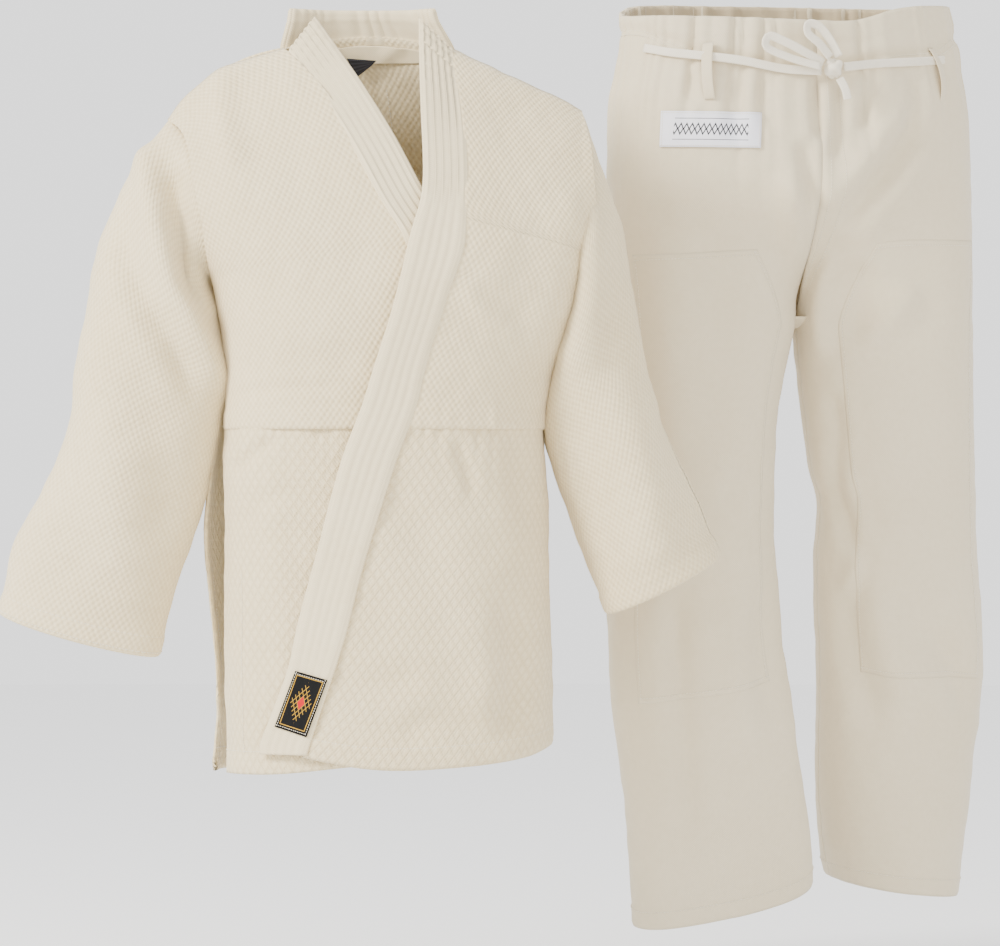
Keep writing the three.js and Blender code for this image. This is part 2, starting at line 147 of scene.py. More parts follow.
cord_routes = {
    "drawcord_right": [on_waist(1.98, 0.03), on_waist(2.25, 0.036), on_waist(2.5, 0.04),
                       on_waist(2.75, 0.045), on_waist(3, 0.054), by(-0.013, 0.002, -0.003)],
    "drawcord_left": [on_waist(4.33, 0.034), on_waist(4.05, 0.038), on_waist(3.75, 0.042),
                      on_waist(3.45, 0.046), by(0.013, 0.002, 0.002)],
    "bow_loop_right": [by(-0.012, -0.002, 0.006), by(-0.034, -0.007, 0.016), by(-0.06, -0.008, 0.028),
                       by(-0.077, -0.007, 0.033), by(-0.08, -0.006, 0.023), by(-0.055, -0.007, 0.011),
                       by(-0.017, -0.008, 0.001)],
    "bow_loop_left": [by(-0.005, -0.004, 0.012), by(-0.019, -0.009, 0.026), by(-0.033, -0.01, 0.038),
                      by(-0.032, -0.009, 0.047), by(-0.021, -0.008, 0.046), by(-0.007, -0.006, 0.032),
                      by(0.005, -0.004, 0.013)],
    "drawcord_tail": [by(0.006, -0.004, -0.011), by(0.011, -0.007, -0.022), by(0.014, -0.008, -0.034)],
}


def smooth_path(points, count):
    """An even, smooth path of count points through a few points (a centripetal Catmull-Rom curve)."""
    points = np.array(points, float)
    ends = [2 * points[0] - points[1], *points, 2 * points[-1] - points[-2]]
    fine = []
    for p0, p1, p2, p3 in zip(ends, ends[1:], ends[2:], ends[3:]):
        k1 = np.linalg.norm(p1 - p0) ** 0.5
        k2 = k1 + np.linalg.norm(p2 - p1) ** 0.5
        k3 = k2 + np.linalg.norm(p3 - p2) ** 0.5
        for k in np.linspace(k1, k2, 24, endpoint=False):
            a1 = (k1 - k) / k1 * p0 + k / k1 * p1
            a2 = (k2 - k) / (k2 - k1) * p1 + (k - k1) / (k2 - k1) * p2
            a3 = (k3 - k) / (k3 - k2) * p2 + (k - k2) / (k3 - k2) * p3
            b1 = (k2 - k) / k2 * a1 + k / k2 * a2
            b2 = (k3 - k) / (k3 - k1) * a2 + (k - k1) / (k3 - k1) * a3
            fine.append((k2 - k) / (k2 - k1) * b1 + (k - k1) / (k2 - k1) * b2)
    fine = np.array([*fine, points[-1]])
    along = np.concatenate([[0], np.cumsum(np.linalg.norm(np.diff(fine, axis=0), axis=1))])
    places = np.linspace(0, along[-1], count)
    return np.stack([np.interp(places, along, fine[:, k]) for k in range(3)], axis=1)


# %% [markdown]
# A mesh piece is made from points and faces, and carries a map of where each point lies on the flat
# cloth, in metres, so that a weave has the same size everywhere. A tape is a flat ribbon swept along
# its path, with a rounded edge and a slight hollow down its middle, as a woven tape has.

# %% mesh pieces and tapes
pieces = {}


def mesh_piece(name, points, faces, cloth_map=None, smooth=True):
    mesh = bpy.data.meshes.new(name)
    mesh.from_pydata(np.asarray(points).tolist(), [], np.asarray(faces).tolist())
    mesh.polygons.foreach_set("use_smooth", np.full(len(mesh.polygons), smooth))
    if cloth_map is not None:
        corners = np.empty(len(mesh.loops), int)
        mesh.loops.foreach_get("vertex_index", corners)
        layer = mesh.uv_layers.new(name="cloth")
        layer.data.foreach_set("uv", np.asarray(cloth_map, np.float32)[corners].ravel())
    mesh.update()
    piece = bpy.data.objects.new(name, mesh)
    bpy.context.scene.collection.objects.link(piece)
    pieces[name] = piece
    return piece


def tape(name, path, width, thick, facing=(0, -1, 0), twist=0.0):
    """A flat ribbon along path, its flat face turned to facing, with twist radians from end to end."""
    path = np.array(path)
    ways = np.gradient(path, axis=0)
    ways /= np.linalg.norm(ways, axis=1, keepdims=True)
    across = np.cross(ways, np.array(facing, float))
    across /= np.linalg.norm(across, axis=1, keepdims=True)
    out = np.cross(across, ways)
    turn = np.linspace(0, twist, len(path))[:, None]
    across, out = (across * np.cos(turn) + out * np.sin(turn), out * np.cos(turn) - across * np.sin(turn))
    corners = np.linspace(0, 2 * math.pi, 17)[:-1]
    wide = power(np.cos(corners), 0.6) * width / 2
    deep = power(np.sin(corners), 0.8) * thick / 2 * (1 - 0.3 * np.exp(-((wide / width * 6) ** 2)))
    rings = path[:, None] + across[:, None] * wide[:, None] + out[:, None] * deep[:, None]
    count = len(corners)
    faces = []
    for j in range(len(path) - 1):
        for i in range(count):
            k = (i + 1) % count
            faces.append((j * count + i, j * count + k, (j + 1) * count + k, (j + 1) * count + i))
    last = (len(path) - 1) * count
    ends = [list(range(count))[::-1], [last + i for i in range(count)]]
    along = np.concatenate([[0], np.cumsum(np.linalg.norm(np.diff(path, axis=0), axis=1))])
    flat = np.stack([np.tile(wide, len(path)), np.repeat(along, count)], axis=1)
    mesh = bpy.data.meshes.new(name)
    mesh.from_pydata(rings.reshape(-1, 3).tolist(), [], faces + ends)
    mesh.polygons.foreach_set("use_smooth", np.ones(len(mesh.polygons), bool))
    corner_points = np.empty(len(mesh.loops), int)
    mesh.loops.foreach_get("vertex_index", corner_points)
    mesh.uv_layers.new(name="cloth").data.foreach_set("uv", flat[corner_points].astype(np.float32).ravel())
    piece = bpy.data.objects.new(name, mesh)
    bpy.context.scene.collection.objects.link(piece)
    pieces[name] = piece
    return piece, float(along[-1])


# %% the drawcord
tape_width = 0.0095
tape_thick = 0.0028
facing_out = np.array(turned(0, -1, 0)) - np.array(turned(0, 0, 0))
cord_twists = {"bow_loop_right": 0.5, "bow_loop_left": -0.6}
cords = {}
for name, route in cord_routes.items():
    path = smooth_path([turned(*p) for p in route], 40)
    twist = cord_twists.get(name, 0)
    piece, tape_length = tape(name + "_tape", path, tape_width, tape_thick, facing_out, twist)
    cords[name] = {"piece": piece, "length": tape_length, "path": path}
    print(name, "is", round(tape_length, 3), "m long")

# %% [markdown]
# Folds. ripple is the soft unevenness of any hanging cloth: a few sine waves with seeded directions.
# crease is one fold, told by the line that it runs along as seen from the front, its width and its
# depth, with a soft lip on each side, because cloth that sinks in one place swells beside it.

# %% ripples and creases
def ripple(a, b, seed, scale):
    """Soft, repeatable unevenness from about -1 to 1, about scale metres from bump to bump."""
    rng = np.random.default_rng(seed)
    total = np.zeros(np.broadcast(a, b).shape)
    waves = 9
    for _ in range(waves):
        angle = rng.uniform(0, math.pi)
        wave = 2 * math.pi / (scale * rng.uniform(0.8, 2.2))
        total += np.sin(wave * (a * math.cos(angle) + b * math.sin(angle)) + rng.uniform(0, 2 * math.pi))
    return total / waves * 2


def crease(p, line, width, depth, lip=0.35, ends=0.25):
    """A valley (depth under 0) or ridge along a line of (x, z), with soft lips on both sides."""
    x, z = p[..., 0], p[..., 2]
    line = smooth_path([(a, 0, b) for a, b in line], 14)[:, [0, 2]]
    lengths = np.linalg.norm(np.diff(line, axis=0), axis=1)
    starts = np.concatenate([[0], np.cumsum(lengths)]) / lengths.sum()
    near = np.full(x.shape, 1e9)
    along = np.zeros(x.shape)
    for k, length in enumerate(lengths):
        way = (line[k + 1] - line[k]) / length
        t = np.clip((x - line[k][0]) * way[0] + (z - line[k][1]) * way[1], 0, length)
        gap = np.hypot(x - line[k][0] - way[0] * t, z - line[k][1] - way[1] * t)
        along = np.where(gap < near, starts[k] + t / lengths.sum(), along)
        near = np.minimum(near, gap)
    fade = smoothstep(0, ends, along) * smoothstep(0, ends, 1 - along)
    d = near / width
    return depth * fade * (np.exp(-d * d) - lip * np.exp(-((d - 2) ** 2)))


# %% [markdown]
# A cloth piece is a grid over a surface at(u, v), with an outer face, an inner face and a turned edge
# between them. A fold function presses folds in before the faces part. An edge in hems is doubled,
# as where real cloth is folded over and stitched, and an edge in soft is only rounded.

# %% cloth pieces
cloths = {}


def face_normals(grid, ring):
    if ring:
        across = np.roll(grid, -1, axis=1) - np.roll(grid, 1, axis=1)
    else:
        across = np.gradient(grid, axis=1)
    normals = np.cross(across, np.gradient(grid, axis=0))
    return normals / np.maximum(np.linalg.norm(normals, axis=2)[..., None], 1e-12)


def cloth(name, at, cols, rows, thick, fold=None, ring=False, flip=False, shift=0.0, hems=(), soft=()):
    """A shell of cloth. Its edges are "top" (v is 0), "bottom", "start" (u is 0) and "end"."""
    u, v = np.meshgrid(np.linspace(0, 1, cols + 1), np.linspace(0, 1, rows + 1))
    if ring:
        u, v = u[:, :-1], v[:, :-1]
    grid = np.stack(at(u, v), axis=2)
    way = -1 if flip else 1
    normals = way * face_normals(grid, ring)
    if fold is not None:
        grid = grid + normals * fold(grid, u, v)[..., None]
        normals = way * face_normals(grid, ring)
    grid = grid + normals * shift
    closed = np.concatenate([grid, grid[:, :1]], axis=1) if ring else grid
    steps_u = np.linalg.norm(np.diff(closed, axis=1), axis=2)
    steps_v = np.linalg.norm(np.diff(grid, axis=0), axis=2)
    height, across = grid.shape[:2]
    along_u = np.concatenate([np.zeros((height, 1)), np.cumsum(steps_u, axis=1)], axis=1)
    along_v = np.concatenate([[0], np.cumsum(steps_v.mean(axis=1))])
    along_u = along_u - along_u[:, -1:] / 2
    flat = np.stack([along_u[:, :across], np.repeat(along_v[:, None], across, axis=1)], axis=2)
    full = np.full(u.shape, float(thick))
    hem_width = 0.022
    for edge, far in (("top", along_v[:, None]), ("bottom", along_v[-1] - along_v[:, None]),
                      ("start", along_u[:, :across] - along_u[:, :1]),
                      ("end", along_u[:, -1:] - along_u[:, :across])):
        if edge in hems:
            turned_in = 1 - smoothstep(hem_width - 0.003, hem_width + 0.001, far)
            full = np.maximum(full, thick * (1 + 0.9 * turned_in)) * np.sqrt(np.clip(far / 0.003, 0.12, 1))
        if edge in soft:
            full = full * np.sqrt(np.clip(far / (0.7 * thick), 0.1, 1))
    count = height * across
    outer = (grid + normals * full[..., None] / 2).reshape(-1, 3)
    inner = (grid - normals * full[..., None] / 2).reshape(-1, 3)
    last = across if ring else across - 1
    j, i = np.meshgrid(np.arange(height - 1), np.arange(last), indexing="ij")
    a = (j * across + i).ravel()
    b = (j * across + (i + 1) % across).ravel()
    c, d = b + across, a + across
    faces = [np.stack([a, b, c, d], axis=1), np.stack([d, c, b, a], axis=1) + count]
    faces.append(np.stack([b, a, a + count, b + count], axis=1)[:last])
    low_a, low_b = d[-last:], c[-last:]
    faces.append(np.stack([low_a, low_b, low_b + count, low_a + count], axis=1))
    if not ring:
        left = np.arange(height - 1) * across
        right = left + across - 1
        faces.append(np.stack([left, left + across, left + across + count, left + count], axis=1))
        faces.append(np.stack([right + across, right, right + count, right + across + count], axis=1))
    faces = np.concatenate(faces)
    if not flip:
        faces = faces[:, ::-1]
    uv = np.concatenate([flat.reshape(-1, 2)] * 2)
    piece = mesh_piece(name, np.concatenate([outer, inner]), faces, uv)
    sides_u = np.diff(closed, axis=1)
    sides_v = np.diff(closed, axis=0)
    area = np.linalg.norm(np.cross(sides_u[:-1], sides_v[:, :-1]), axis=2).sum()
    flat_size = (float(steps_u.sum(axis=1).max()), float(steps_v.sum(axis=0).max()))
    cloths[name] = {"piece": piece, "grid": closed, "normals": normals, "thick": full,
                    "area": float(area), "flat": flat_size}
    print(name, len(faces), "faces,", [round(size, 3) for size in flat_size], "m of cloth")
    return piece


# %% [markdown]
# The jacket's outlines are shares of its half width and its length, the same as the frame's.
# standing_off says how far the cloth stands from the middle of the body: most at the chest, nothing
# at the sides, rounded off at the shoulders, and open where the arms go in.

# %% jacket outlines
half = 0.170
length = 0.812
depth = 0.098
jacket_cloth = 0.0026
armhole_depth = 0.062
band_thick = 0.007
over_lift = band_thick + jacket_cloth + 0.0042

right_side = profile((0.15, -1.306), (0.2, -1.19), (0.27, -1.115), (0.335, -1.05), (0.393, -1.0),
                     (0.44, -0.96), (0.5, -0.94), (0.557, -0.945), (0.7, -0.94), (0.85, -0.935),
                     (1.01, -0.925))
back_right_side = profile((0.15, -1.306), (0.2, -1.19), (0.27, -1.115), (0.335, -1.05), (0.393, -1.0),
                          (0.44, -0.96), (0.5, -0.95), (0.557, -0.985), (0.62, -1.045), (0.69, -1.075),
                          (0.78, -1.034), (0.85, -1.003), (0.913, -0.99), (0.98, -1.012), (1.01, -1.0))
left_side = profile((0.139, 1.288), (0.2, 1.35), (0.326, 1.36), (0.43, 1.215), (0.49, 1.11),
                    (0.557, 1.05), (0.69, 1.075), (0.985, 1.1))
shoulder_line = profile((-1.306, 0.15), (-1.165, 0.113), (-0.947, 0.081), (-0.571, 0.055), (-0.3, 0.04),
                        (0, 0.036), (0.25, 0.042), (0.465, 0.058), (0.818, 0.091), (1.159, 0.123),
                        (1.288, 0.139))
nape_line = profile((-1.306, 0.15), (-0.947, 0.081), (-0.571, 0.052), (-0.3, -0.03), (0, -0.055),
                    (0.25, -0.03), (0.465, 0.055), (0.818, 0.091), (1.288, 0.139))
front_share = profile((0.03, 0.45), (0.14, 0.68), (0.25, 0.92), (0.37, 1.04), (0.55, 0.98), (1, 1.06))
back_share = profile((0.03, 0.62), (0.14, 0.84), (0.25, 0.98), (0.37, 1.02), (0.55, 0.9), (1, 1.02))
right_armhole = (0.15, 0.357)
left_armhole = (0.139, 0.326)
waist_line = 0.557
shoulder_round = 0.21
squareness = 2.4


def standing_off(x, h, share, line, lift, right=right_side):
    side = np.where(x < 0, right(h), left_side(h))
    top = np.where(x < 0, right_armhole[0], left_armhole[0])
    bottom = np.where(x < 0, right_armhole[1], left_armhole[1])
    off = (2 * h - top - bottom) / (bottom - top)
    out = share(h) * depth + lift
    opening = np.minimum(0.98, armhole_depth * np.sqrt(np.clip(1 - off * off, 0, 1)) / out) ** squareness
    near = np.clip(x / side, 0, 1) ** squareness
    below = np.clip((h - line(x)) / shoulder_round, 0, 1)
    rounding = np.sqrt(1 - (1 - below) ** 2)
    return out * ((1 - near) * (1 - opening) + opening) ** (1 / squareness) * rounding


def on_front(x, h, lift=0.0):
    return x * half, -standing_off(x, h, front_share, shoulder_line, lift), -h * length


def on_back(x, h, lift=0.0, right=back_right_side):
    return x * half, standing_off(x, h, back_share, nape_line, lift, right), -h * length


# %% [markdown]
# The two front edges cross on the chest. The over edge carries the quilted band down to the badge.
# Each edge has a seam line, where the band is sewn on, and a free line, where the band ends.

# %% front edges and hems
under_seam = profile((0.055, -0.576), (0.14, -0.26), (0.26, 0.065), (0.31, 0.21), (0.43, 0.365),
                     (0.557, 0.447), (0.985, 0.54))
under_free = profile((0, -0.44), (0.055, -0.24), (0.16, 0.082), (0.243, 0.294), (0.31, 0.49),
                     (0.43, 0.645), (0.557, 0.727), (0.985, 0.82))
over_seam = profile((0.055, 0.465), (0.16, 0.545), (0.31, 0.545), (0.384, 0.44), (0.475, 0.305),
                    (0.527, 0.245), (0.6, 0.115), (0.675, 0), (0.745, -0.1), (0.83, -0.205), (0.98, -0.44))
over_free = profile((0.005, 0.27), (0.12, 0.285), (0.243, 0.305), (0.305, 0.23), (0.4, 0.12), (0.48, 0.0),
                    (0.522, -0.062), (0.6, -0.2), (0.717, -0.35), (0.81, -0.47), (0.87, -0.535),
                    (0.966, -0.71))
under_hem = profile((-0.94, 1.006), (-0.6, 1.004), (-0.15, 0.994), (0.3, 0.985), (0.9, 0.975))
over_hem = profile((-0.71, 0.966), (-0.44, 0.981), (0.04, 0.997), (0.59, 0.993), (0.95, 0.982),
                   (1.11, 0.968))
back_hem = profile((-1.0, 1.004), (-0.4, 0.996), (0.4, 0.982), (1.1, 0.962))
waist_lap = 0.014


def free_height(h):
    """Where the band's free edge lies, level with height h on its seam: higher, near the neck."""
    return h - 0.05 * (1 - smoothstep(0.055, 0.3, h))


def chest_panel(outer, inner, outer_top, inner_top, lift):
    """A front panel from the waist seam, which it laps over, up to the shoulder."""
    def at(u, v):
        ease = 1 - np.cos(u * math.pi / 2)
        bottom = waist_line
        outer_h, inner_h = mix(bottom, outer_top, v), mix(bottom, inner_top, v)
        x = mix(outer(outer_h), inner(inner_h), ease)
        rise = v * v * (shoulder_line(x) - mix(outer_top, inner_top, ease))
        return on_front(x, mix(outer_h, inner_h, ease) + rise, lift)
    return at


def skirt_panel(outer, inner, hem, lift):
    """A front panel from the waist seam down to the hem."""
    def at(u, v):
        ease = 1 - np.cos(u * math.pi / 2)
        level = mix(waist_line - waist_lap, 0.985, v)
        x = mix(outer(level), inner(level), ease)
        h = level + v ** 3 * (hem(x) - 0.985)
        return on_front(mix(outer(h), inner(h), ease), h, lift)
    return at


def back_panel(top, bottom):
    """The back, between its side edges, from a bottom line up to the shoulders or to a level top."""
    def at(u, v):
        across = 0.5 - 0.5 * np.cos(u * math.pi)
        right_top, left_top = (top, top) if top else (right_armhole[0], left_armhole[0])
        right_h, left_h = mix(bottom, right_top, v), mix(bottom, left_top, v)
        x = mix(back_right_side(right_h), left_side(left_h), across)
        h = mix(right_h, left_h, across)
        if top:
            h = h + (1 - v) ** 2 * (back_hem(x) - bottom)
        else:
            h = h + v * v * (shoulder_line(x) - mix(right_top, left_top, across))
        return on_back(x, h)
    return at


# %% [markdown]
# The chest is woven in small rice grains and hangs almost smooth, with a few soft folds that run
# from the shoulder and pull at the armpit, and little gathers where it meets the waist seam.

# %% chest folds
def gathers(x, z, seam, reach, seed):
    """Small upright pleats that start at a seam and die out over reach metres."""
    rng = np.random.default_rng(seed)
    total = np.zeros(np.shape(x))
    for place in np.arange(-0.2, 0.2, 0.014):
        place += rng.uniform(-0.004, 0.004)
        far = reach * rng.uniform(0.4, 1.3)
        size = rng.uniform(-1, 0.5)
        total += size * np.exp(-((x - place) / 0.0035) ** 2) * np.exp(-((z - seam) / far) ** 2)
    return total


def right_chest_folds(p, u, v):
    x, z = p[..., 0], p[..., 2]
    soft = 0.0012 * ripple(x, z, 3, 0.09) + 0.0005 * ripple(x, z, 4, 0.025)
    soft += crease(p, [(-0.155, -0.055), (-0.163, -0.1), (-0.15, -0.19)], 0.014, -0.004)
    soft += crease(p, [(-0.12, -0.09), (-0.06, -0.2), (0.01, -0.31)], 0.035, 0.003)
    soft += crease(p, [(-0.15, -0.33), (-0.08, -0.35), (-0.01, -0.35)], 0.018, -0.002)
    soft += crease(p, [(-0.16, -0.42), (-0.12, -0.41), (-0.03, -0.408)], 0.006, 0.0018)
    return soft + 0.0016 * gathers(x, z, -waist_line * length, 0.02, 31)


def left_chest_folds(p, u, v):
    x, z = p[..., 0], p[..., 2]
    soft = 0.0012 * ripple(x, z, 5, 0.09) + 0.0005 * ripple(x, z, 6, 0.025)
    soft += crease(p, [(0.088, -0.3), (0.11, -0.325), (0.16, -0.36)], 0.011, -0.003)
    soft += crease(p, [(0.215, -0.19), (0.2, -0.28), (0.172, -0.4)], 0.02, -0.006)
    soft += crease(p, [(0.14, -0.08), (0.15, -0.17), (0.13, -0.26)], 0.03, 0.002)
    return soft + 0.0016 * gathers(x, z, -waist_line * length, 0.02, 32)


def back_folds(p, u, v):
    x, z = p[..., 0], p[..., 2]
    soft = 0.0014 * ripple(x, z, 11, 0.11) + 0.0005 * ripple(x, z, 12, 0.03)
    soft += crease(p, [(-0.15, -0.19), (-0.1, -0.3), (-0.08, -0.42)], 0.022, 0.004)
    soft += crease(p, [(0.16, -0.19), (0.11, -0.3), (0.09, -0.42)], 0.022, 0.004)
    soft -= 0.0012 * np.exp(-(x / 0.003) ** 2)
    return soft + 0.0016 * gathers(x, z, -waist_line * length, 0.025, 33)


# %% the chest and the back
cloth("chest_right", chest_panel(right_side, under_seam, right_armhole[0], 0.055, 0.0), 110, 120,
      jacket_cloth, right_chest_folds, flip=True, hems=("top",))
cloth("chest_left", chest_panel(left_side, over_seam, left_armhole[0], 0.058, over_lift), 90, 120,
      jacket_cloth, left_chest_folds, hems=("top",))
cloth("back_cloth", back_panel(None, waist_line), 150, 110, jacket_cloth, back_folds, hems=("top",))

# %% [markdown]
# The skirt below the waist seam is woven in larger diamonds and is a little stiffer. Its folds start
# at the seam. The back hangs wider than the front at the wearer's right, so its edge shows beside it,
# and the side seam opens into a vent near the hem.

# %% skirt
def skirt_folds(seed):
    def folds(p, u, v):
        x, z = p[..., 0], p[..., 2]
        soft = 0.0016 * ripple(x, z, seed, 0.1) + 0.0007 * ripple(x, z, seed + 1, 0.03)
        soft += 0.002 * gathers(x, z, -waist_line * length, 0.035, seed)
        soft += crease(p, [(-0.155, -0.5), (-0.13, -0.48), (-0.1, -0.46)], 0.007, -0.004)
        soft += crease(p, [(-0.14, -0.56), (-0.12, -0.53), (-0.085, -0.52)], 0.01, -0.003)
        soft += crease(p, [(0.01, -0.5), (0.05, -0.56), (0.06, -0.64)], 0.022, -0.003)
        soft += crease(p, [(0.02, -0.78), (0.06, -0.76), (0.12, -0.77)], 0.012, -0.003)
        soft += crease(p, [(-0.12, -0.48), (-0.105, -0.55), (-0.11, -0.65)], 0.02, 0.003)
        soft += crease(p, [(0.084, -0.46), (0.095, -0.49), (0.105, -0.53)], 0.007, -0.0035)
        soft += crease(p, [(0.145, -0.44), (0.15, -0.5), (0.165, -0.56)], 0.012, -0.003)
        soft += crease(p, [(0.14, -0.62), (0.148, -0.7), (0.14, -0.79)], 0.014, -0.006)
        soft += crease(p, [(0.09, -0.63), (0.11, -0.7), (0.115, -0.77)], 0.018, 0.003)
        soft += crease(p, [(-0.06, -0.70), (0.0, -0.72), (0.06, -0.71)], 0.014, -0.0022)
        return soft
    return folds


cloth("skirt_right", skirt_panel(right_side, under_seam, under_hem, -0.002), 100, 90, jacket_cloth,
      skirt_folds(7), flip=True, hems=("bottom", "start"))
cloth("skirt_left", skirt_panel(left_side, over_seam, over_hem, over_lift - 0.002), 110, 90, jacket_cloth,
      skirt_folds(19), hems=("bottom",))
cloth("skirt_back", back_panel(waist_line - waist_lap, 0.985), 150, 80, jacket_cloth, back_folds,
      hems=("top", "start"))

# %% [markdown]
# The band round the neck and down both fronts is five layers of cotton twill, quilted with parallel
# rows of stitching that stop a hand from crushing it. The cloth puffs between the rows.

# %% the quilted band
stitch_rows = 5


def quilting(p, u, v):
    puff = np.abs(np.sin(u * math.pi * (stitch_rows + 1))) ** 0.6
    return 0.0013 * puff + 0.0009 * ripple(p[..., 0], p[..., 2], 41, 0.07)


def band_stretch(seam, free, top, bottom, lift):
    def at(u, v):
        h = mix(top, bottom, v)
        tuck = -0.02 if seam is under_seam else 0.02
        sewn = on_front(seam(h) + tuck, h, lift)
        loose_h = free_height(h)
        loose = on_front(free(loose_h), loose_h, lift)
        return tuple(mix(a, b, u) for a, b in zip(sewn, loose))
    return at


def eased(at, reach, until):
    """The same surface with its bend over the shoulder eased, near its top end."""
    def soft_at(u, v):
        window = reach * (1 - smoothstep(0, until, v))
        samples = [at(u, np.clip(v + step * window, 0, 1)) for step in (-1, -0.6, -0.3, 0, 0.3, 0.6, 1)]
        x, y, z = (sum(sample[k] for sample in samples) / len(samples) for k in range(3))
        return x, y, z
    return soft_at


band_lift = 0.0024
shoulder_reach, shoulder_share = 0.06, 0.3
under_band = eased(band_stretch(under_seam, under_free, 0.048, 0.985, band_lift),
                   shoulder_reach, shoulder_share)
over_band = eased(band_stretch(over_seam, over_free, 0.05, 0.978, over_lift + band_lift),
                  shoulder_reach, shoulder_share)
cloth("band_right", under_band, 60, 300, band_thick, quilting, soft=("start", "end"))
cloth("band_left", over_band, 60, 300, band_thick, quilting, flip=True, soft=("start", "end"))


def nape_folds(p, u, v):
    rows = np.exp(-((u - 0.2) / 0.05) ** 2) + np.exp(-((u - 0.75) / 0.05) ** 2)
    pucker = np.sin(v * 2 * math.pi * 16 + 2 * np.sin(v * 23)) * (0.4 + 0.6 * np.sin(v * 9) ** 2)
    return 0.0011 * pucker * smoothstep(0.02, 0.3, u) - 0.0007 * rows


def nape(u, v):
    x = mix(-0.6, 0.5, 0.5 - 0.5 * np.cos(v * math.pi))
    sx, sy, sz = on_back(x, shoulder_line(x) + 0.012)
    lean = smoothstep(0, 1, u)
    return mix(sx, sx * 0.82 - 0.008, lean), mix(sy, sy * 0.84, lean), mix(sz, np.full_like(sz, -0.001), u)


cloth("band_nape", nape, 24, 160, 0.0055, nape_folds, soft=("start", "end"))

# %% [markdown]
# A sleeve is a tube cut on the bias. It leaves the armhole wide, folds where the upper arm would be
# and opens at the cuff. Its first ring sits just inside the armhole, so the body's edge laps over it.

# %% sleeves
def line_through(*stops):
    """A smooth line in the front view through (x, h) shares, as two profiles of the way along it."""
    places = np.linspace(0, 1, len(stops))
    return (profile(*[(t, x * half) for t, (x, h) in zip(places, stops)]),
            profile(*[(t, -h * length) for t, (x, h) in zip(places, stops)]))


sleeve_lines = {
    "right_sleeve": (
        line_through((-1.306, 0.15), (-1.53, 0.22), (-1.75, 0.334), (-1.86, 0.45), (-1.93, 0.55),
                     (-2.1, 0.64), (-2.28, 0.714), (-2.36, 0.797)),
        line_through((-1.03, 0.357), (-0.975, 0.42), (-0.94, 0.485), (-0.985, 0.56), (-1.07, 0.63),
                     (-1.15, 0.70), (-1.26, 0.77), (-1.37, 0.853)),
        profile((0, 1), (0.3, 1), (0.6, 0.85), (1, 0.66)), (-1.86, 0.812)),
    "left_sleeve": (
        line_through((1.288, 0.139), (1.42, 0.22), (1.553, 0.302), (1.63, 0.4), (1.7, 0.49),
                     (1.86, 0.575), (2.03, 0.653), (2.159, 0.722)),
        line_through((1.34, 0.326), (1.24, 0.41), (1.13, 0.475), (1.045, 0.545), (1.11, 0.61),
                     (1.22, 0.67), (1.33, 0.735), (1.447, 0.797)),
        profile((0, 1), (0.3, 1), (0.6, 0.92), (1, 0.86)), (1.83, 0.77)),
}


def sleeve_at(name):
    (far_x, far_z), (near_x, near_z), fullness, _ = sleeve_lines[name]
    right = name.startswith("right")
    top, bottom = right_armhole if right else left_armhole
    side = right_side if right else left_side
    sign = -1 if right else 1

    def at(u, v):
        cos, sin = np.cos(u * 2 * math.pi), np.sin(u * 2 * math.pi)
        down = (1 - cos) / 2
        x = mix(far_x(v), near_x(v), down)
        z = mix(far_z(v), near_z(v), down) - 0.008 * np.maximum(sin, 0) * smoothstep(0.8, 1, v)
        y = -armhole_depth * fullness(v) * sin
        h = mix(top, bottom, down)
        tucked = 0.003 + 0.012 * smoothstep(0.01, 0.14, down) * np.exp(-((down / 0.35) ** 2))
        hole_x = side(h) * half - sign * tucked
        front = -standing_off(side(h), h, front_share, shoulder_line, 0.0 if right else over_lift)
        back = standing_off(side(h), h, back_share, nape_line, 0.0)
        hole_y = np.where(sin > 0, front, back) * 0.93
        blend = smoothstep(0.0, 0.16, v)
        return mix(hole_x, x, blend), mix(hole_y, y, blend), mix(-h * length, z, blend)
    return at


def right_sleeve_folds(p, u, v):
    x, y, z = p[..., 0], p[..., 1], p[..., 2]
    front = smoothstep(0.012, -0.012, y)
    soft = 0.0018 * ripple(x + y, z, 21, 0.1) + 0.0006 * ripple(x - y, z, 22, 0.03)
    soft += front * crease(p, [(-0.255, -0.13), (-0.243, -0.17), (-0.224, -0.25), (-0.21, -0.3),
                               (-0.18, -0.37), (-0.163, -0.42)], 0.012, 0.008, 0.2, 0.12)
    recess = [(-0.228, -0.15), (-0.21, -0.21), (-0.196, -0.27), (-0.18, -0.33)]
    soft += front * crease(p, recess, 0.018, -0.021, 0.1)
    soft += front * crease(p, [(-0.27, -0.2), (-0.262, -0.27), (-0.235, -0.33), (-0.205, -0.38),
                               (-0.185, -0.44)], 0.014, -0.008)
    soft += front * crease(p, [(-0.3, -0.33), (-0.285, -0.45), (-0.275, -0.55), (-0.27, -0.66)], 0.03, 0.005)
    soft += front * crease(p, [(-0.24, -0.4), (-0.225, -0.5), (-0.225, -0.6)], 0.024, -0.004)
    back = 1 - front
    soft += back * crease(p, [(-0.25, -0.2), (-0.24, -0.3), (-0.2, -0.4)], 0.02, -0.008)
    soft += back * crease(p, [(-0.3, -0.35), (-0.28, -0.5), (-0.29, -0.62)], 0.03, 0.005)
    return soft * smoothstep(0, 0.06, v) * (1 - 0.7 * smoothstep(0.9, 1, v))


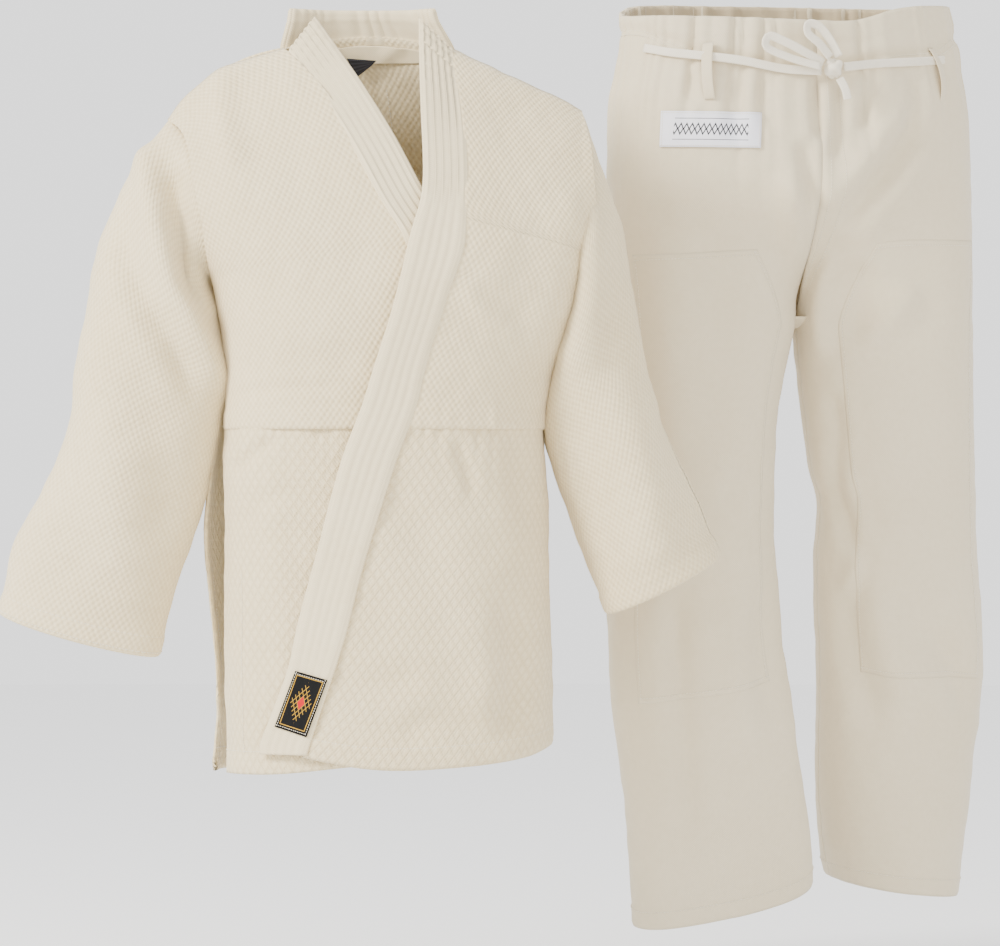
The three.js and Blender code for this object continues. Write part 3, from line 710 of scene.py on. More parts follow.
def left_sleeve_folds(p, u, v):
    x, y, z = p[..., 0], p[..., 1], p[..., 2]
    front = smoothstep(0.012, -0.012, y)
    soft = 0.0016 * ripple(x + y, z, 23, 0.1) + 0.0006 * ripple(x - y, z, 24, 0.03)
    soft += front * crease(p, [(0.232, -0.2), (0.226, -0.3), (0.2, -0.42)], 0.018, -0.007)
    soft += front * crease(p, [(0.25, -0.38), (0.272, -0.46), (0.29, -0.54), (0.305, -0.64)], 0.03, -0.012)
    soft += front * crease(p, [(0.3, -0.42), (0.325, -0.5), (0.345, -0.6)], 0.03, 0.005)
    back = 1 - front
    soft += back * crease(p, [(0.24, -0.2), (0.23, -0.3), (0.21, -0.42)], 0.02, -0.008)
    soft += back * crease(p, [(0.27, -0.4), (0.3, -0.5), (0.31, -0.62)], 0.028, 0.006)
    return soft * smoothstep(0, 0.06, v) * (1 - 0.7 * smoothstep(0.9, 1, v))


cloth("sleeve_right", sleeve_at("right_sleeve"), 150, 170, jacket_cloth, right_sleeve_folds, ring=True,
      flip=True, hems=("bottom",))
cloth("sleeve_left", sleeve_at("left_sleeve"), 150, 170, jacket_cloth, left_sleeve_folds, ring=True,
      flip=True, hems=("bottom",))

# %% [markdown]
# The trousers. Each half is one piece of cloth from the waist to the hem, as it is really cut: from
# the waist to the fork its two edges are the front and back seams, and below the fork they meet and
# become the inside leg seam. So one grid serves for both: a half ring at the hips that closes into a
# whole ring. The outlines are where the cloth's edges are, seen from the front.

# %% trousers outlines
outline_right = profile((0, 0.2655), (0.03, 0.2644), (0.056, 0.26), (0.083, 0.2545), (0.137, 0.2534),
                        (0.33, 0.252), (0.52, 0.2515), (0.65, 0.2523), (0.73, 0.2556), (0.786, 0.2625),
                        (0.84, 0.2695), (0.894, 0.2732), (0.975, 0.28))
outline_left = profile((-0.02, 0.632), (0, 0.637), (0.025, 0.6438), (0.05, 0.646), (0.08, 0.6528),
                       (0.137, 0.6572),
                       (0.33, 0.6595), (0.46, 0.66), (0.57, 0.6632), (0.626, 0.6682), (0.68, 0.6698),
                       (0.76, 0.6705), (0.79, 0.6656), (0.848, 0.6605), (0.903, 0.6524), (0.96, 0.6456))
inside_right = profile((0.325, 0.4577), (0.345, 0.4522), (0.407, 0.4397), (0.461, 0.4352), (0.516, 0.4341),
                       (0.57, 0.4352), (0.625, 0.4397), (0.679, 0.443), (0.734, 0.453), (0.788, 0.4608),
                       (0.843, 0.4708), (0.897, 0.4785), (0.95, 0.479))
inside_left = profile((0.325, 0.4577), (0.345, 0.461), (0.4065, 0.468), (0.461, 0.4746), (0.488, 0.4791),
                      (0.516, 0.4875), (0.57, 0.485), (0.626, 0.4858), (0.68, 0.489), (0.737, 0.4903),
                      (0.848, 0.4914), (0.903, 0.4959), (0.931, 0.5027), (0.96, 0.506))
leg_depth = {
    "right": profile((0.33, 0.75), (0.42, 0.77), (0.52, 0.68), (0.74, 0.6), (1, 0.48)),
    "left": profile((0.33, 0.75), (0.42, 0.77), (0.52, 0.68), (0.74, 0.68), (1, 0.78)),
}
leg_back = {
    "right": profile((0.33, 0.0), (1, 0.0)),
    "left": profile((0.33, 0.0), (0.52, 0.02), (0.63, 0.17), (0.74, 0.42), (0.85, 0.68), (1, 0.88)),
}
fork = 0.325
trousers_cloth = 0.002
roundness = 2 / 2.2


def section(left, right, deep, back):
    """The middle and the half width of a ring of cloth whose outlines are at left and right."""
    reach = (right - left) / 2
    wide = np.sqrt(np.maximum(reach ** 2 - (deep * turn_sin) ** 2, 1e-6)) / turn_cos
    middle = ((left + right) / 2 - trousers_place[0] + back * turn_sin) / turn_cos
    return middle, wide


waist_top = profile((0, -0.029), (0.9, -0.024), (1.57, -0.008), (2.2, -0.005), (2.8, -0.003), (3.14, -0.001),
                    (3.35, -0.002), (3.65, -0.016), (4.0, -0.022), (4.7, -0.024),
                    (5.4, -0.027), (6.283, -0.029))
casing_seam = profile((0, 0.02), (1.5, 0.008), (2.0, 0.012), (2.3, 0.028), (2.47, 0.036), (2.85, 0.046),
                      (3.2, 0.053), (3.6, 0.036), (3.95, 0.028), (4.3, 0.012), (5, 0.012), (6.283, 0.02))


def hem_height(side, turn):
    """Where the hem is at a turn round the leg, 0 at the inside seam and a quarter at the front."""
    inner, front, outer = (0.931, 0.012, 0.976) if side == "right" else (0.933, 0.008, 0.951)
    return mix(inner, outer, (1 - np.cos(turn)) / 2) + front * np.sin(turn)


def half_trousers(side):
    sign = 1 if side == "right" else -1

    def at(u, v):
        angle = math.pi * (1 - sign * u)
        turn = 2 * math.pi * u
        h = mix(waist_top(angle), hem_height(side, turn), v)
        middle, wide = section(outline_right(h), outline_left(h), hip_depth(h) * trousers_depth, 0)
        deep = hip_depth(np.maximum(h, 0)) * trousers_depth
        hip_x = middle - power(np.sin(angle), 2 / 2.3) * wide
        hip_y = power(np.cos(angle), 2 / 2.3) * deep
        if side == "right":
            outlines = (outline_right(h), inside_right(h))
        else:
            outlines = (inside_left(h), outline_left(h))
        deep = leg_depth[side](h) * trousers_depth
        back = leg_back[side](h) * trousers_depth
        middle, wide = section(*outlines, deep, back)
        leg_x = middle + sign * power(np.cos(turn), roundness) * wide
        leg_y = back - power(np.sin(turn), roundness) * deep
        meet = smoothstep(0.17, fork + 0.012, h)
        return turned(mix(hip_x, leg_x, meet), mix(hip_y, leg_y, meet), -h * trousers_length)
    return at


# %% [markdown]
# The drawcord pulls the waist in, so small upright gathers run down from it. Below them the cloth is
# light drill: it breaks into a valley at the fork, a long slanting fold off the wearer's left hip and
# crumples inside the knee.

# %% trousers folds
def waist_gathers(p, seed):
    """Upright gathers in the casing and below it, at seeded places round the waist."""
    x, y, z = (p[..., k] - trousers_place[k] for k in range(3))
    around = np.arctan2(x * turn_cos + y * turn_sin, (y * turn_cos - x * turn_sin) * 1.9)
    rng = np.random.default_rng(seed)
    total = np.zeros(x.shape)
    for place in np.arange(-math.pi, math.pi, 0.105):
        place += rng.uniform(-0.04, 0.04)
        far = rng.uniform(0.035, 0.12)
        size = rng.uniform(-1, 0.5)
        wide = rng.uniform(0.014, 0.03)
        fading = np.exp(-(np.maximum(-z - 0.045, 0) / far) ** 2)
        total += size * np.exp(-((around - place) / wide) ** 2) * fading
    pinch = 0.0035 * np.exp(-((z + casing_seam(-around % (2 * math.pi))) / 0.006) ** 2)
    return 0.0075 * total - pinch


def trousers_folds(p, u, v):
    x, y, z = p[..., 0], p[..., 1], p[..., 2]
    local_y = (y - trousers_place[1]) * turn_cos - (x - trousers_place[0]) * turn_sin
    front = smoothstep(0.02, -0.03, local_y - 0.09 * smoothstep(-0.6, -0.95, z) * (x > 0.47))
    soft = 0.0022 * ripple(x + y, z * 0.5, 51, 0.1) + 0.0006 * ripple(x - y, z, 52, 0.035)
    soft += waist_gathers(p, 53)
    folds = crease(p, [(0.603, -0.1), (0.565, -0.155), (0.53, -0.197), (0.5, -0.238)], 0.013, -0.009)
    folds += crease(p, [(0.57, -0.09), (0.535, -0.15), (0.505, -0.19)], 0.016, 0.006)
    folds += crease(p, [(0.479, -0.06), (0.478, -0.1), (0.482, -0.14)], 0.006, -0.006)
    folds += crease(p, [(0.503, -0.06), (0.502, -0.1), (0.5, -0.16)], 0.007, -0.006)
    folds += crease(p, [(0.39, -0.06), (0.385, -0.1), (0.39, -0.14)], 0.008, -0.004)
    folds += crease(p, [(0.345, -0.055), (0.342, -0.08), (0.345, -0.1)], 0.006, -0.004)
    folds += crease(p, [(0.425, -0.055), (0.42, -0.09), (0.43, -0.13)], 0.008, -0.004)
    folds += crease(p, [(0.545, -0.05), (0.54, -0.08), (0.53, -0.13)], 0.007, -0.005)
    folds += crease(p, [(0.585, -0.05), (0.59, -0.09), (0.58, -0.13)], 0.008, -0.005)
    folds += crease(p, [(0.462, -0.13), (0.47, -0.18), (0.474, -0.215)], 0.009, -0.007)
    folds += crease(p, [(0.44, -0.16), (0.455, -0.22), (0.452, -0.28)], 0.014, 0.006)
    folds += crease(p, [(0.5, -0.25), (0.487, -0.3), (0.486, -0.38)], 0.009, 0.006)
    folds += crease(p, [(0.54, -0.26), (0.525, -0.31), (0.54, -0.36)], 0.02, -0.008)
    folds += crease(p, [(0.6, -0.29), (0.56, -0.33), (0.52, -0.36)], 0.014, 0.005)
    folds += crease(p, [(0.5, -0.4), (0.505, -0.46), (0.5, -0.53)], 0.009, -0.005)
    folds += crease(p, [(0.498, -0.5), (0.515, -0.55), (0.535, -0.6)], 0.009, -0.006)
    folds += crease(p, [(0.53, -0.55), (0.525, -0.6), (0.51, -0.64)], 0.008, 0.004)
    folds += crease(p, [(0.54, -0.62), (0.56, -0.69), (0.6, -0.76)], 0.02, 0.007)
    folds += crease(p, [(0.52, -0.6), (0.53, -0.7), (0.56, -0.8)], 0.016, -0.006)
    folds += crease(p, [(0.61, -0.66), (0.635, -0.71), (0.66, -0.78)], 0.016, -0.007)
    folds += crease(p, [(0.328, -0.6), (0.326, -0.68), (0.335, -0.8), (0.34, -0.92)], 0.013, -0.006)
    folds += crease(p, [(0.36, -0.63), (0.38, -0.72), (0.4, -0.8)], 0.025, 0.004)
    folds += crease(p, [(0.3, -0.2), (0.31, -0.35), (0.305, -0.5)], 0.03, 0.004)
    folds += crease(p, [(0.39, -0.47), (0.4, -0.5), (0.37, -0.53)], 0.013, -0.003)
    folds += crease(p, [(0.43, -0.6), (0.42, -0.7), (0.44, -0.82)], 0.016, -0.004)
    back = crease(p, [(0.4, -0.2), (0.36, -0.3), (0.33, -0.36)], 0.018, -0.008)
    back += crease(p, [(0.5, -0.2), (0.55, -0.3), (0.6, -0.36)], 0.018, -0.008)
    back += crease(p, [(0.34, -0.5), (0.37, -0.54), (0.42, -0.55)], 0.012, -0.006)
    back += crease(p, [(0.55, -0.5), (0.58, -0.55), (0.64, -0.56)], 0.012, -0.006)
    return soft + front * folds + (1 - front) * back


# %% the trousers' halves
for side in ("right", "left"):
    cloth(f"trousers_{side}", half_trousers(side), 150, 260, trousers_cloth, trousers_folds,
          flip=(side == "left"), hems=("top", "bottom"))

# %% [markdown]
# Some pieces lie on others: the knee patches, the facing inside the waist, the gusset that spans the
# fork, the yoke inside the neck. Each takes its shape from the cloth that it is sewn to, a little off
# it, so that the same folds run through both.

# %% knee patches, casing and gusset
def knee_patch(side):
    leg = half_trousers(side)
    top, bottom = 0.262, 0.752

    def at(u, v):
        return leg(mix(0.13, 0.4, u), mix(top, bottom, v))
    return at


for side in ("right", "left"):
    cloth(f"patch_{side}", knee_patch(side), 60, 130, 0.0008, trousers_folds, flip=(side == "left"),
          shift=0.0012, soft=("top", "bottom", "start", "end"))


def waist_casing(u, v):
    angle = u * 2 * math.pi
    h = waist_top(angle) + mix(0.001, 0.044, v)
    middle, wide = section(outline_right(h), outline_left(h), hip_depth(h) * trousers_depth, 0)
    inset = 0.0045
    deep = hip_depth(np.maximum(h, 0)) * trousers_depth - inset
    x = middle - power(np.sin(angle), 2 / 2.3) * (wide - inset)
    return turned(x, power(np.cos(angle), 2 / 2.3) * deep, -h * trousers_length)


def casing_folds(p, u, v):
    return 0.8 * waist_gathers(p, 53) + 0.0008 * np.sin(u * 2 * math.pi * 70)


cloth("casing", waist_casing, 220, 10, 0.0016, casing_folds, ring=True, flip=True)


def gusset(u, v):
    along = 2 * v - 1
    x = 0.0072 + (2 * u - 1) * (0.003 + 0.0075 * along ** 2)
    return turned(x, along * 0.03, -fork * trousers_length - 0.0035 + 0.012 * along ** 2)


cloth("gusset_cloth", gusset, 16, 24, 0.0012)

# %% the yoke inside the neck
def yoke(u, v):
    x = mix(-0.36, 0.28, u)
    return on_back(x, mix(shoulder_line(x) + 0.012, 0.071, v), -0.0042)


def yoke_folds(p, u, v):
    soft = 0.0006 * ripple(p[..., 0], p[..., 2], 61, 0.03)
    soft += crease(p, [(-0.05, -0.034), (-0.035, -0.045), (-0.02, -0.055)], 0.006, -0.0016)
    soft += crease(p, [(0.03, -0.034), (0.015, -0.045), (0.0, -0.055)], 0.007, -0.0018)
    return soft


cloth("yoke", yoke, 50, 16, 0.0013, yoke_folds, soft=("bottom",))

# %% [markdown]
# Labels are woven strips with their own patterns. They are laid on the cloth by dropping points onto
# it from the front, the way a sewer lays a label flat and pins it.

# %% labels and badge
def tree_of(name):
    mesh = pieces[name].data
    return BVHTree.FromPolygons([v.co for v in mesh.vertices], [face.vertices for face in mesh.polygons])


def laid_label(name, base, corners, cols, rows, thick, off, stiff=3):
    """A flat label on the front of a piece, inside four corners given as (x, z) from the top left."""
    tree = tree_of(base)
    top_left, top_right, low_right, low_left = (np.array(corner) for corner in corners)

    def at(u, v):
        share = u[..., None]
        flat = mix(mix(top_left, top_right, share), mix(low_left, low_right, share), v[..., None])
        hits = [tree.ray_cast(Vector((x, -1, z)), Vector((0, 1, 0)))[0].y for x, z in flat.reshape(-1, 2)]
        y = np.array(hits).reshape(u.shape)
        for _ in range(stiff):
            y[1:-1] = (y[:-2] + y[1:-1] + y[2:]) / 3
            y[:, 1:-1] = (y[:, :-2] + y[:, 1:-1] + y[:, 2:]) / 3
        return flat[..., 0], y - off, flat[..., 1]
    return cloth(name, at, cols, rows, thick, flip=True)


laid_label("waist_label", "trousers_right", [(0.3078, -0.1035), (0.4180, -0.1050), (0.4165, -0.1440),
                                            (0.3060, -0.1430)], 44, 18, 0.0008, 0.0022)
laid_label("badge", "band_left", [(-0.0822, -0.7056), (-0.0483, -0.7150), (-0.0703, -0.7748),
                                  (-0.1041, -0.7643)], 24, 36, 0.0013, 0.0014)
laid_label("nape_label", "back_cloth", [(-0.0325, -0.0525), (-0.001, -0.0545), (-0.0065, -0.0600),
                                        (-0.0225, -0.0722)], 16, 12, 0.001, 0.0075, 0)

# %% [markdown]
# A belt loop is a narrow strap that arches over the drawcord, sewn down at both ends. The knot is
# the same tape wound on itself, drawn here as a small lump with the wraps pressed into it.

# %% belt loops
loop_angles = {"right": 2.53, "left": 3.97}
for side, angle in loop_angles.items():
    drops = np.linspace(0.026, 0.088, 30)
    arch = np.sin((drops - 0.026) / 0.062 * math.pi) ** 0.7
    path = [turned(*on_waist(angle + 0.03 * t, drop, 0.0025 + 0.0078 * lift))
            for t, drop, lift in zip(np.linspace(0, 1, 30), drops, arch)]
    facing = np.array(turned(*on_waist(angle, 0.05, 0.03))) - np.array(turned(*on_waist(angle, 0.05, 0)))
    tape(f"loop_{side}", path, 0.0125, 0.0022, facing / np.linalg.norm(facing))

# %% the knot
knot_u, knot_v = np.meshgrid(np.linspace(0, 2 * math.pi, 49)[:-1], np.linspace(0, math.pi, 33))
swell = 1 + 0.13 * np.sin(2 * knot_u + 3.2 * knot_v) + 0.08 * np.sin(3 * knot_u - 4 * knot_v)
swell = swell - 0.18 * np.exp(-((np.sin(knot_u * 0.5 + knot_v * 1.3)) / 0.16) ** 2)
ball = np.stack([0.0108 * swell * np.sin(knot_v) * np.cos(knot_u),
                 0.0082 * swell * np.sin(knot_v) * np.sin(knot_u),
                 0.0096 * swell * np.cos(knot_v)], axis=2)
knot_points = [turned(*(knot + offset)) for offset in ball.reshape(-1, 3)]
knot_faces = [(j * 48 + i, (j + 1) * 48 + i, (j + 1) * 48 + (i + 1) % 48, j * 48 + (i + 1) % 48)
              for j in range(32) for i in range(48)]
knot_map = np.stack([knot_u * 0.009, knot_v * 0.009], axis=2).reshape(-1, 2)
mesh_piece("knot_wraps", knot_points, knot_faces, knot_map)

# %% [markdown]
# Stitches. Every seam and hem is a row of thread that dips into the cloth between stitches. Modelled
# as real little lumps of thread, they catch the light along a hem. The band's rows are what makes it
# a band, and a double row holds the waist seam.

# %% rows of stitches
def on_grid(name, u, v):
    """Points and outward directions on a cloth piece's outer face, at shares u and v of its grid."""
    grid, thick = cloths[name]["grid"], cloths[name]["thick"]
    normals = cloths[name]["normals"]
    rows, cols = normals.shape[:2]
    fu, fv = np.asarray(u) * (grid.shape[1] - 1), np.asarray(v) * (rows - 1)
    i, j = np.minimum(fu.astype(int), grid.shape[1] - 2), np.minimum(fv.astype(int), rows - 2)
    s, t = (fu - i)[:, None], (fv - j)[:, None]
    points = mix(mix(grid[j, i], grid[j, i + 1], s), mix(grid[j + 1, i], grid[j + 1, i + 1], s), t)
    out = normals[j, i % cols]
    return points + out * (thick[j, i % cols] / 2)[:, None], out


def stitches(name, base, rows, pitch=0.0036, wide=0.0009, raised=0.0005):
    """One mesh of every stitch along the rows; each row is (u, v) shares of the base's grid."""
    points, faces = [], []
    for u, v in rows:
        path, out = on_grid(base, *np.broadcast_arrays(u, v))
        along = np.concatenate([[0], np.cumsum(np.linalg.norm(np.diff(path, axis=0), axis=1))])
        starts = np.arange(0, along[-1] - pitch, pitch)
        if len(starts) < 2:
            continue
        a = np.stack([np.interp(starts, along, path[:, k]) for k in range(3)], axis=1)
        b = np.stack([np.interp(starts + pitch * 0.74, along, path[:, k]) for k in range(3)], axis=1)
        n = np.stack([np.interp(starts, along, out[:, k]) for k in range(3)], axis=1)
        side = np.cross(b - a, n)
        side *= wide / 2 / np.maximum(np.linalg.norm(side, axis=1), 1e-9)[:, None]
        for t, half_wide, lift in ((0, 0.5, -0.0003), (0.2, 1, raised), (0.8, 1, raised), (1, 0.5, -0.0003)):
            middle = mix(a, b, t)
            for across, up in ((-half_wide, 0), (0, 1), (half_wide, 0), (0, -1)):
                points.append(middle + side * across + n * (lift + up * wide * 0.35 * half_wide))
        block = np.stack(points[-16:], axis=1)
        points[-16:] = [block.reshape(-1, 3)]
        base_index = np.arange(len(starts))[:, None] * 16 + sum(len(p) for p in points[:-1])
        for ring in range(3):
            for k in range(4):
                quad = [ring * 4 + k, ring * 4 + (k + 1) % 4, ring * 4 + 4 + (k + 1) % 4, ring * 4 + 4 + k]
                faces.append(base_index + np.array(quad))
        faces.append(base_index + np.array([3, 2, 1, 0]))
        faces.append(base_index + np.array([12, 13, 14, 15]))
    piece = mesh_piece(name, np.concatenate(points), np.concatenate(faces))
    print(name, len(piece.data.polygons) // 14, "stitches")
    return piece


every = np.linspace(0.004, 0.996, 400)
stitches("chest_right_thread", "chest_right", [(every, 0.013), (every, 0.036)])
stitches("chest_left_thread", "chest_left", [(every, 0.013), (every, 0.036)])
stitches("back_thread", "back_cloth", [(every, 0.013), (every, 0.036), (0.497, every * 0.9)])
stitches("skirt_right_thread", "skirt_right", [(every, 0.94), (0.26, every * 0.5 + 0.45)])
stitches("skirt_left_thread", "skirt_left", [(every, 0.94)])
stitches("skirt_back_thread", "skirt_back", [(every, 0.06), (0.045, every * 0.55 + 0.01)])
down_band = 0.05 + 0.945 * every
band_rows = [(k / (stitch_rows + 1), down_band) for k in range(1, stitch_rows + 1)]
edge_rows = [(0.05, down_band), (0.95, down_band)]
stitches("band_right_thread", "band_right", band_rows + edge_rows, 0.0036, 0.001, 0.0004)
crossing = [(every * 0.86 + 0.07, 0.885), (every * 0.86 + 0.07, 0.985)]
stitches("band_left_thread", "band_left", band_rows + edge_rows + crossing, 0.0036, 0.001, 0.0004)
stitches("nape_thread", "band_nape", [(share, every) for share in (0.2, 0.45, 0.7, 0.93)])
stitches("sleeve_right_thread", "sleeve_right", [(every, 0.957), (every, 0.99)])
stitches("sleeve_left_thread", "sleeve_left", [(every, 0.953), (every, 0.99)])
for side, sign in (("right", 1), ("left", -1)):
    angle = math.pi * (1 - sign * every)
    share = (casing_seam(angle % (2 * math.pi)) / trousers_length - waist_top(angle % (2 * math.pi))) / 0.955
    rows = [(every, 0.981), (every, share), (every, share + 0.006)]
    if side == "left":
        rows += [(0.01, every * 0.25 + 0.06), (0.03, every * 0.25 + 0.06)]
    stitches(f"trousers_{side}_thread", f"trousers_{side}", rows, 0.0036, 0.0008)
    stitches(f"patch_{side}_thread", f"patch_{side}",
             [(every, 0.012), (every, 0.988), (0.03, every), (0.97, every)],
             0.0036, 0.0008)
frame_rows = [(every, 0.05), (every, 0.95), (0.02, every), (0.98, every)]
stitches("waist_label_thread", "waist_label", frame_rows, 0.0026, 0.0006, 0.0003)
stitches("badge_thread", "badge", [(every, 0.04), (every, 0.96), (0.05, every), (0.95, every)],
         0.0026, 0.0006, 0.0003)
stitches("vent_tack", "skirt_back", [(u, np.linspace(0.30, 0.325, 9)) for u in (0.012, 0.024, 0.036)],
         0.0016, 0.001)

# %% [markdown]
# Materials. A small class wraps a socket, so that shader maths reads like ordinary Python. Everything
# woven is worked out from the map of the flat cloth, which is in metres, so one thread is as wide on
# a sleeve as on a skirt.

# %% shader maths
class Wire:
    """One output socket of a material, or a number, that Python's operators work on."""

    def __init__(self, tree, socket):
        self.tree = tree
        self.socket = socket

    def node(self, kind, settings=(), inputs=(), output=0):
        """Add a node: its settings first, then its sockets' values or wires, and return an output."""
        node = self.tree.nodes.new(kind)
        for key, value in dict(settings).items():
            setattr(node, key, value)
        for key, value in dict(inputs).items():
            if isinstance(value, Wire):
                self.tree.links.new(value.socket, node.inputs[key])
            else:
                node.inputs[key].default_value = value
        return Wire(self.tree, node.outputs[output])

    def maths(self, operation, *values):
        return self.node("ShaderNodeMath", {"operation": operation}, dict(enumerate((self, *values))))

    def __add__(self, other):
        return self.maths("ADD", other)

    def __mul__(self, other):
        return self.maths("MULTIPLY", other)

    def __sub__(self, other):
        return self.maths("SUBTRACT", other)

    def __rsub__(self, other):
        return self.node("ShaderNodeMath", {"operation": "SUBTRACT"}, {0: other, 1: self})

    __radd__ = __add__
    __rmul__ = __mul__

    def blend(self, low, high):
        """A colour between low and high, by this wire's value from 0 to 1."""
        return self.node("ShaderNodeMix", {"data_type": "RGBA"}, {0: self, 6: low, 7: high}, 2)


# %% [markdown]
# Judo cloth is bleached or natural cotton: matt, warm white, slightly darker down between the
# threads and where it has been handled. Its weave stands up like grains of rice on the chest and the
# sleeves, and in larger diamonds on the skirt. The grains are two waves multiplied, so that they
# stagger; the diamonds are the lower of two slanting waves. The band and the
# trousers are a fine twill, a single slanting wave.

# %% weaves
def wave(place, spacing, start=0.0):
    return (place * (2 * math.pi / spacing) + start).maths("SINE")


def rice_grain(across, along):
    return wave(across, 0.0066) * wave(along, 0.0088) * 0.5 + 0.5


def diamonds(across, along):
    one = wave(across + along * 0.7, 0.0210).maths("ABSOLUTE")
    other = wave(across - along * 0.7, 0.0210).maths("ABSOLUTE")
    ribs = wave(across - along * 0.7, 0.0035) * 0.5 + 0.5
    return one.maths("MINIMUM", other) * 0.75 + ribs * 0.25


def twill(across, along):
    return wave(across + along, 0.0022) * 0.5 + 0.5


def herringbone(across, along):
    return wave(across.maths("ABSOLUTE") + along, 0.0024) * 0.5 + 0.5


def plain_weave(across, along):
    return wave(across, 0.0011) * wave(along, 0.0011) * 0.5 + 0.5


def new_material(name):
    material = bpy.data.materials.new(name)
    material.use_nodes = True
    tree = material.node_tree
    shader = tree.nodes["Principled BSDF"]
    start = Wire(tree, None)
    cloth_map = start.node("ShaderNodeUVMap", {"uv_map": "cloth"})
    across = start.node("ShaderNodeSeparateXYZ", (), {0: cloth_map}, 0)
    along = Wire(tree, across.socket.node.outputs[1])
    return material, tree, shader, cloth_map, across, along


def woven(name, weave, light, deep, height=0.0007, strength=0.6, rough=0.86, sheen=0.25, fuzz=0.35):
    """A woven cloth: weave gives a height from 0 to 1, and deep is the colour between the threads."""
    material, tree, shader, cloth_map, across, along = new_material(name)
    relief = weave(across, along)
    threads = relief.node("ShaderNodeTexNoise", (), {"Vector": cloth_map, "Scale": 1500.0, "Detail": 2.0})
    slubs = relief.node("ShaderNodeTexNoise", (), {"Vector": cloth_map, "Scale": 130.0, "Detail": 3.0})
    patches = relief.node("ShaderNodeTexNoise", (), {"Vector": cloth_map, "Scale": 7.0, "Detail": 2.0})
    body = relief * (1 - fuzz) + threads * fuzz
    shade = (body * 0.55 + slubs * 0.3 + patches * 0.35).maths("SUBTRACT", 0.1)
    colour = shade.maths("MAXIMUM", 0.0).maths("MINIMUM", 1.0).blend(deep, light)
    tree.links.new(colour.socket, shader.inputs["Base Color"])
    raised = {"Height": body + slubs * 0.4, "Distance": height, "Strength": strength}
    bump = body.node("ShaderNodeBump", (), raised)
    tree.links.new(bump.socket, shader.inputs["Normal"])
    tree.links.new((body * -0.1 + (rough + 0.06)).socket, shader.inputs["Roughness"])
    shader.inputs["Sheen Weight"].default_value = sheen
    shader.inputs["Sheen Roughness"].default_value = 0.5
    shader.inputs["Specular IOR Level"].default_value = 0.25
    return material


warm_white = (0.91, 0.79, 0.53, 1)
warm_deep = (0.60, 0.46, 0.23, 1)
finishes = {
    "jacket_cloth": woven("pearl_weave_cotton", rice_grain, warm_white, warm_deep, 0.0016, 0.95),
    "skirt_cloth": woven("diamond_weave_cotton", diamonds, warm_white, warm_deep, 0.0020, 0.9),
    "band_cloth": woven("quilted_band_twill", twill, (0.86, 0.75, 0.52, 1), (0.62, 0.50, 0.28, 1),
                        0.0004, 0.5),
    "trousers_cloth": woven("trousers_drill", twill, (0.76, 0.67, 0.49, 1), (0.58, 0.48, 0.31, 1),
                            0.0003, 0.45),
    "tape": woven("drawcord_tape", herringbone, (0.90, 0.85, 0.73, 1), (0.68, 0.59, 0.43, 1), 0.0005, 0.6),
}
# The facing inside the waist is the trousers' own cotton; its darker tan is painted shade for the hollow
# inside the waistband, where the back shows over the front.
painted_shade_casing = woven("painted_shade_casing_twill", twill, (0.56, 0.46, 0.30, 1), (0.40, 0.31, 0.18, 1), 0.0004, 0.5)
thread = woven("cotton_thread", plain_weave, (0.88, 0.83, 0.70, 1), (0.72, 0.64, 0.48, 1),
               0.0002, 0.3, 0.6, 0.1)
print(len(bpy.data.materials), "finishes so far")

# %% [markdown]
# The labels keep to plain geometric patterns: a white strip with a row of dark lozenges, and a dark
# badge with a gold edge and a gold lattice round a small red diamond.

# %% label finishes
def patterned(name, ground, draw, rough=0.5):
    """A woven label: draw is given the material's wires, and gives back a colour wire."""
    material, tree, shader, _, across, along = new_material(name)
    colour = draw(across, along, ground)
    grain = plain_weave(across, along)
    tree.links.new(colour.socket, shader.inputs["Base Color"])
    bump = grain.node("ShaderNodeBump", (), {"Height": grain, "Distance": 0.00025, "Strength": 0.6})
    tree.links.new(bump.socket, shader.inputs["Normal"])
    tree.links.new((grain * 0.15 + rough).socket, shader.inputs["Roughness"])
    shader.inputs["Specular IOR Level"].default_value = 0.15
    return material


def inside(place, low, high):
    """1 where place lies between low and high."""
    return place.maths("GREATER_THAN", low) * place.maths("LESS_THAN", high)


def white_pattern(across, along, ground):
    spacing = 0.0125
    within = (across.maths("PINGPONG", spacing / 2) - spacing / 4) * 4
    up = (along - 0.0195) * 2
    far = within.maths("ABSOLUTE") + up.maths("ABSOLUTE")
    field = inside(across.maths("ABSOLUTE"), -1, 0.042)
    mark = inside(far, 0.0085, 0.0145) * field
    rule = inside((along - 0.0195).maths("ABSOLUTE"), 0.0112, 0.0119) * field
    return (mark + rule).maths("MINIMUM", 1.0).blend(ground, (0.03, 0.03, 0.035, 1))


def badge_pattern(across, along, ground):
    middle = along - 0.031
    x, y = across.maths("ABSOLUTE"), middle.maths("ABSOLUTE")
    gold = (0.42, 0.24, 0.03, 1)
    edge = inside(x, 0.0142, 0.0151) * y.maths("LESS_THAN", 0.0278)
    ends = inside(y, 0.0269, 0.0278) * x.maths("LESS_THAN", 0.0151)
    one = wave(across + middle * 0.6, 0.0095)
    other = wave(across - middle * 0.6, 0.0095)
    lattice = one.maths("ABSOLUTE").maths("MINIMUM", other.maths("ABSOLUTE"))
    lines = inside(lattice, -1, 0.24) * inside(x + y * 0.55, 0.0035, 0.0128)
    drawn = (edge + ends + lines).maths("MINIMUM", 1.0).blend(ground, gold)
    centre = (x + y * 0.55).maths("LESS_THAN", 0.0042)
    red = (0.5, 0.008, 0.012, 1)
    return drawn.node("ShaderNodeMix", {"data_type": "RGBA"}, {0: centre, 6: drawn, 7: red}, 2)


def plain_dark(across, along, ground):
    return (wave(along, 0.0032) * 0.5 + 0.5).blend(ground, (0.035, 0.035, 0.04, 1))


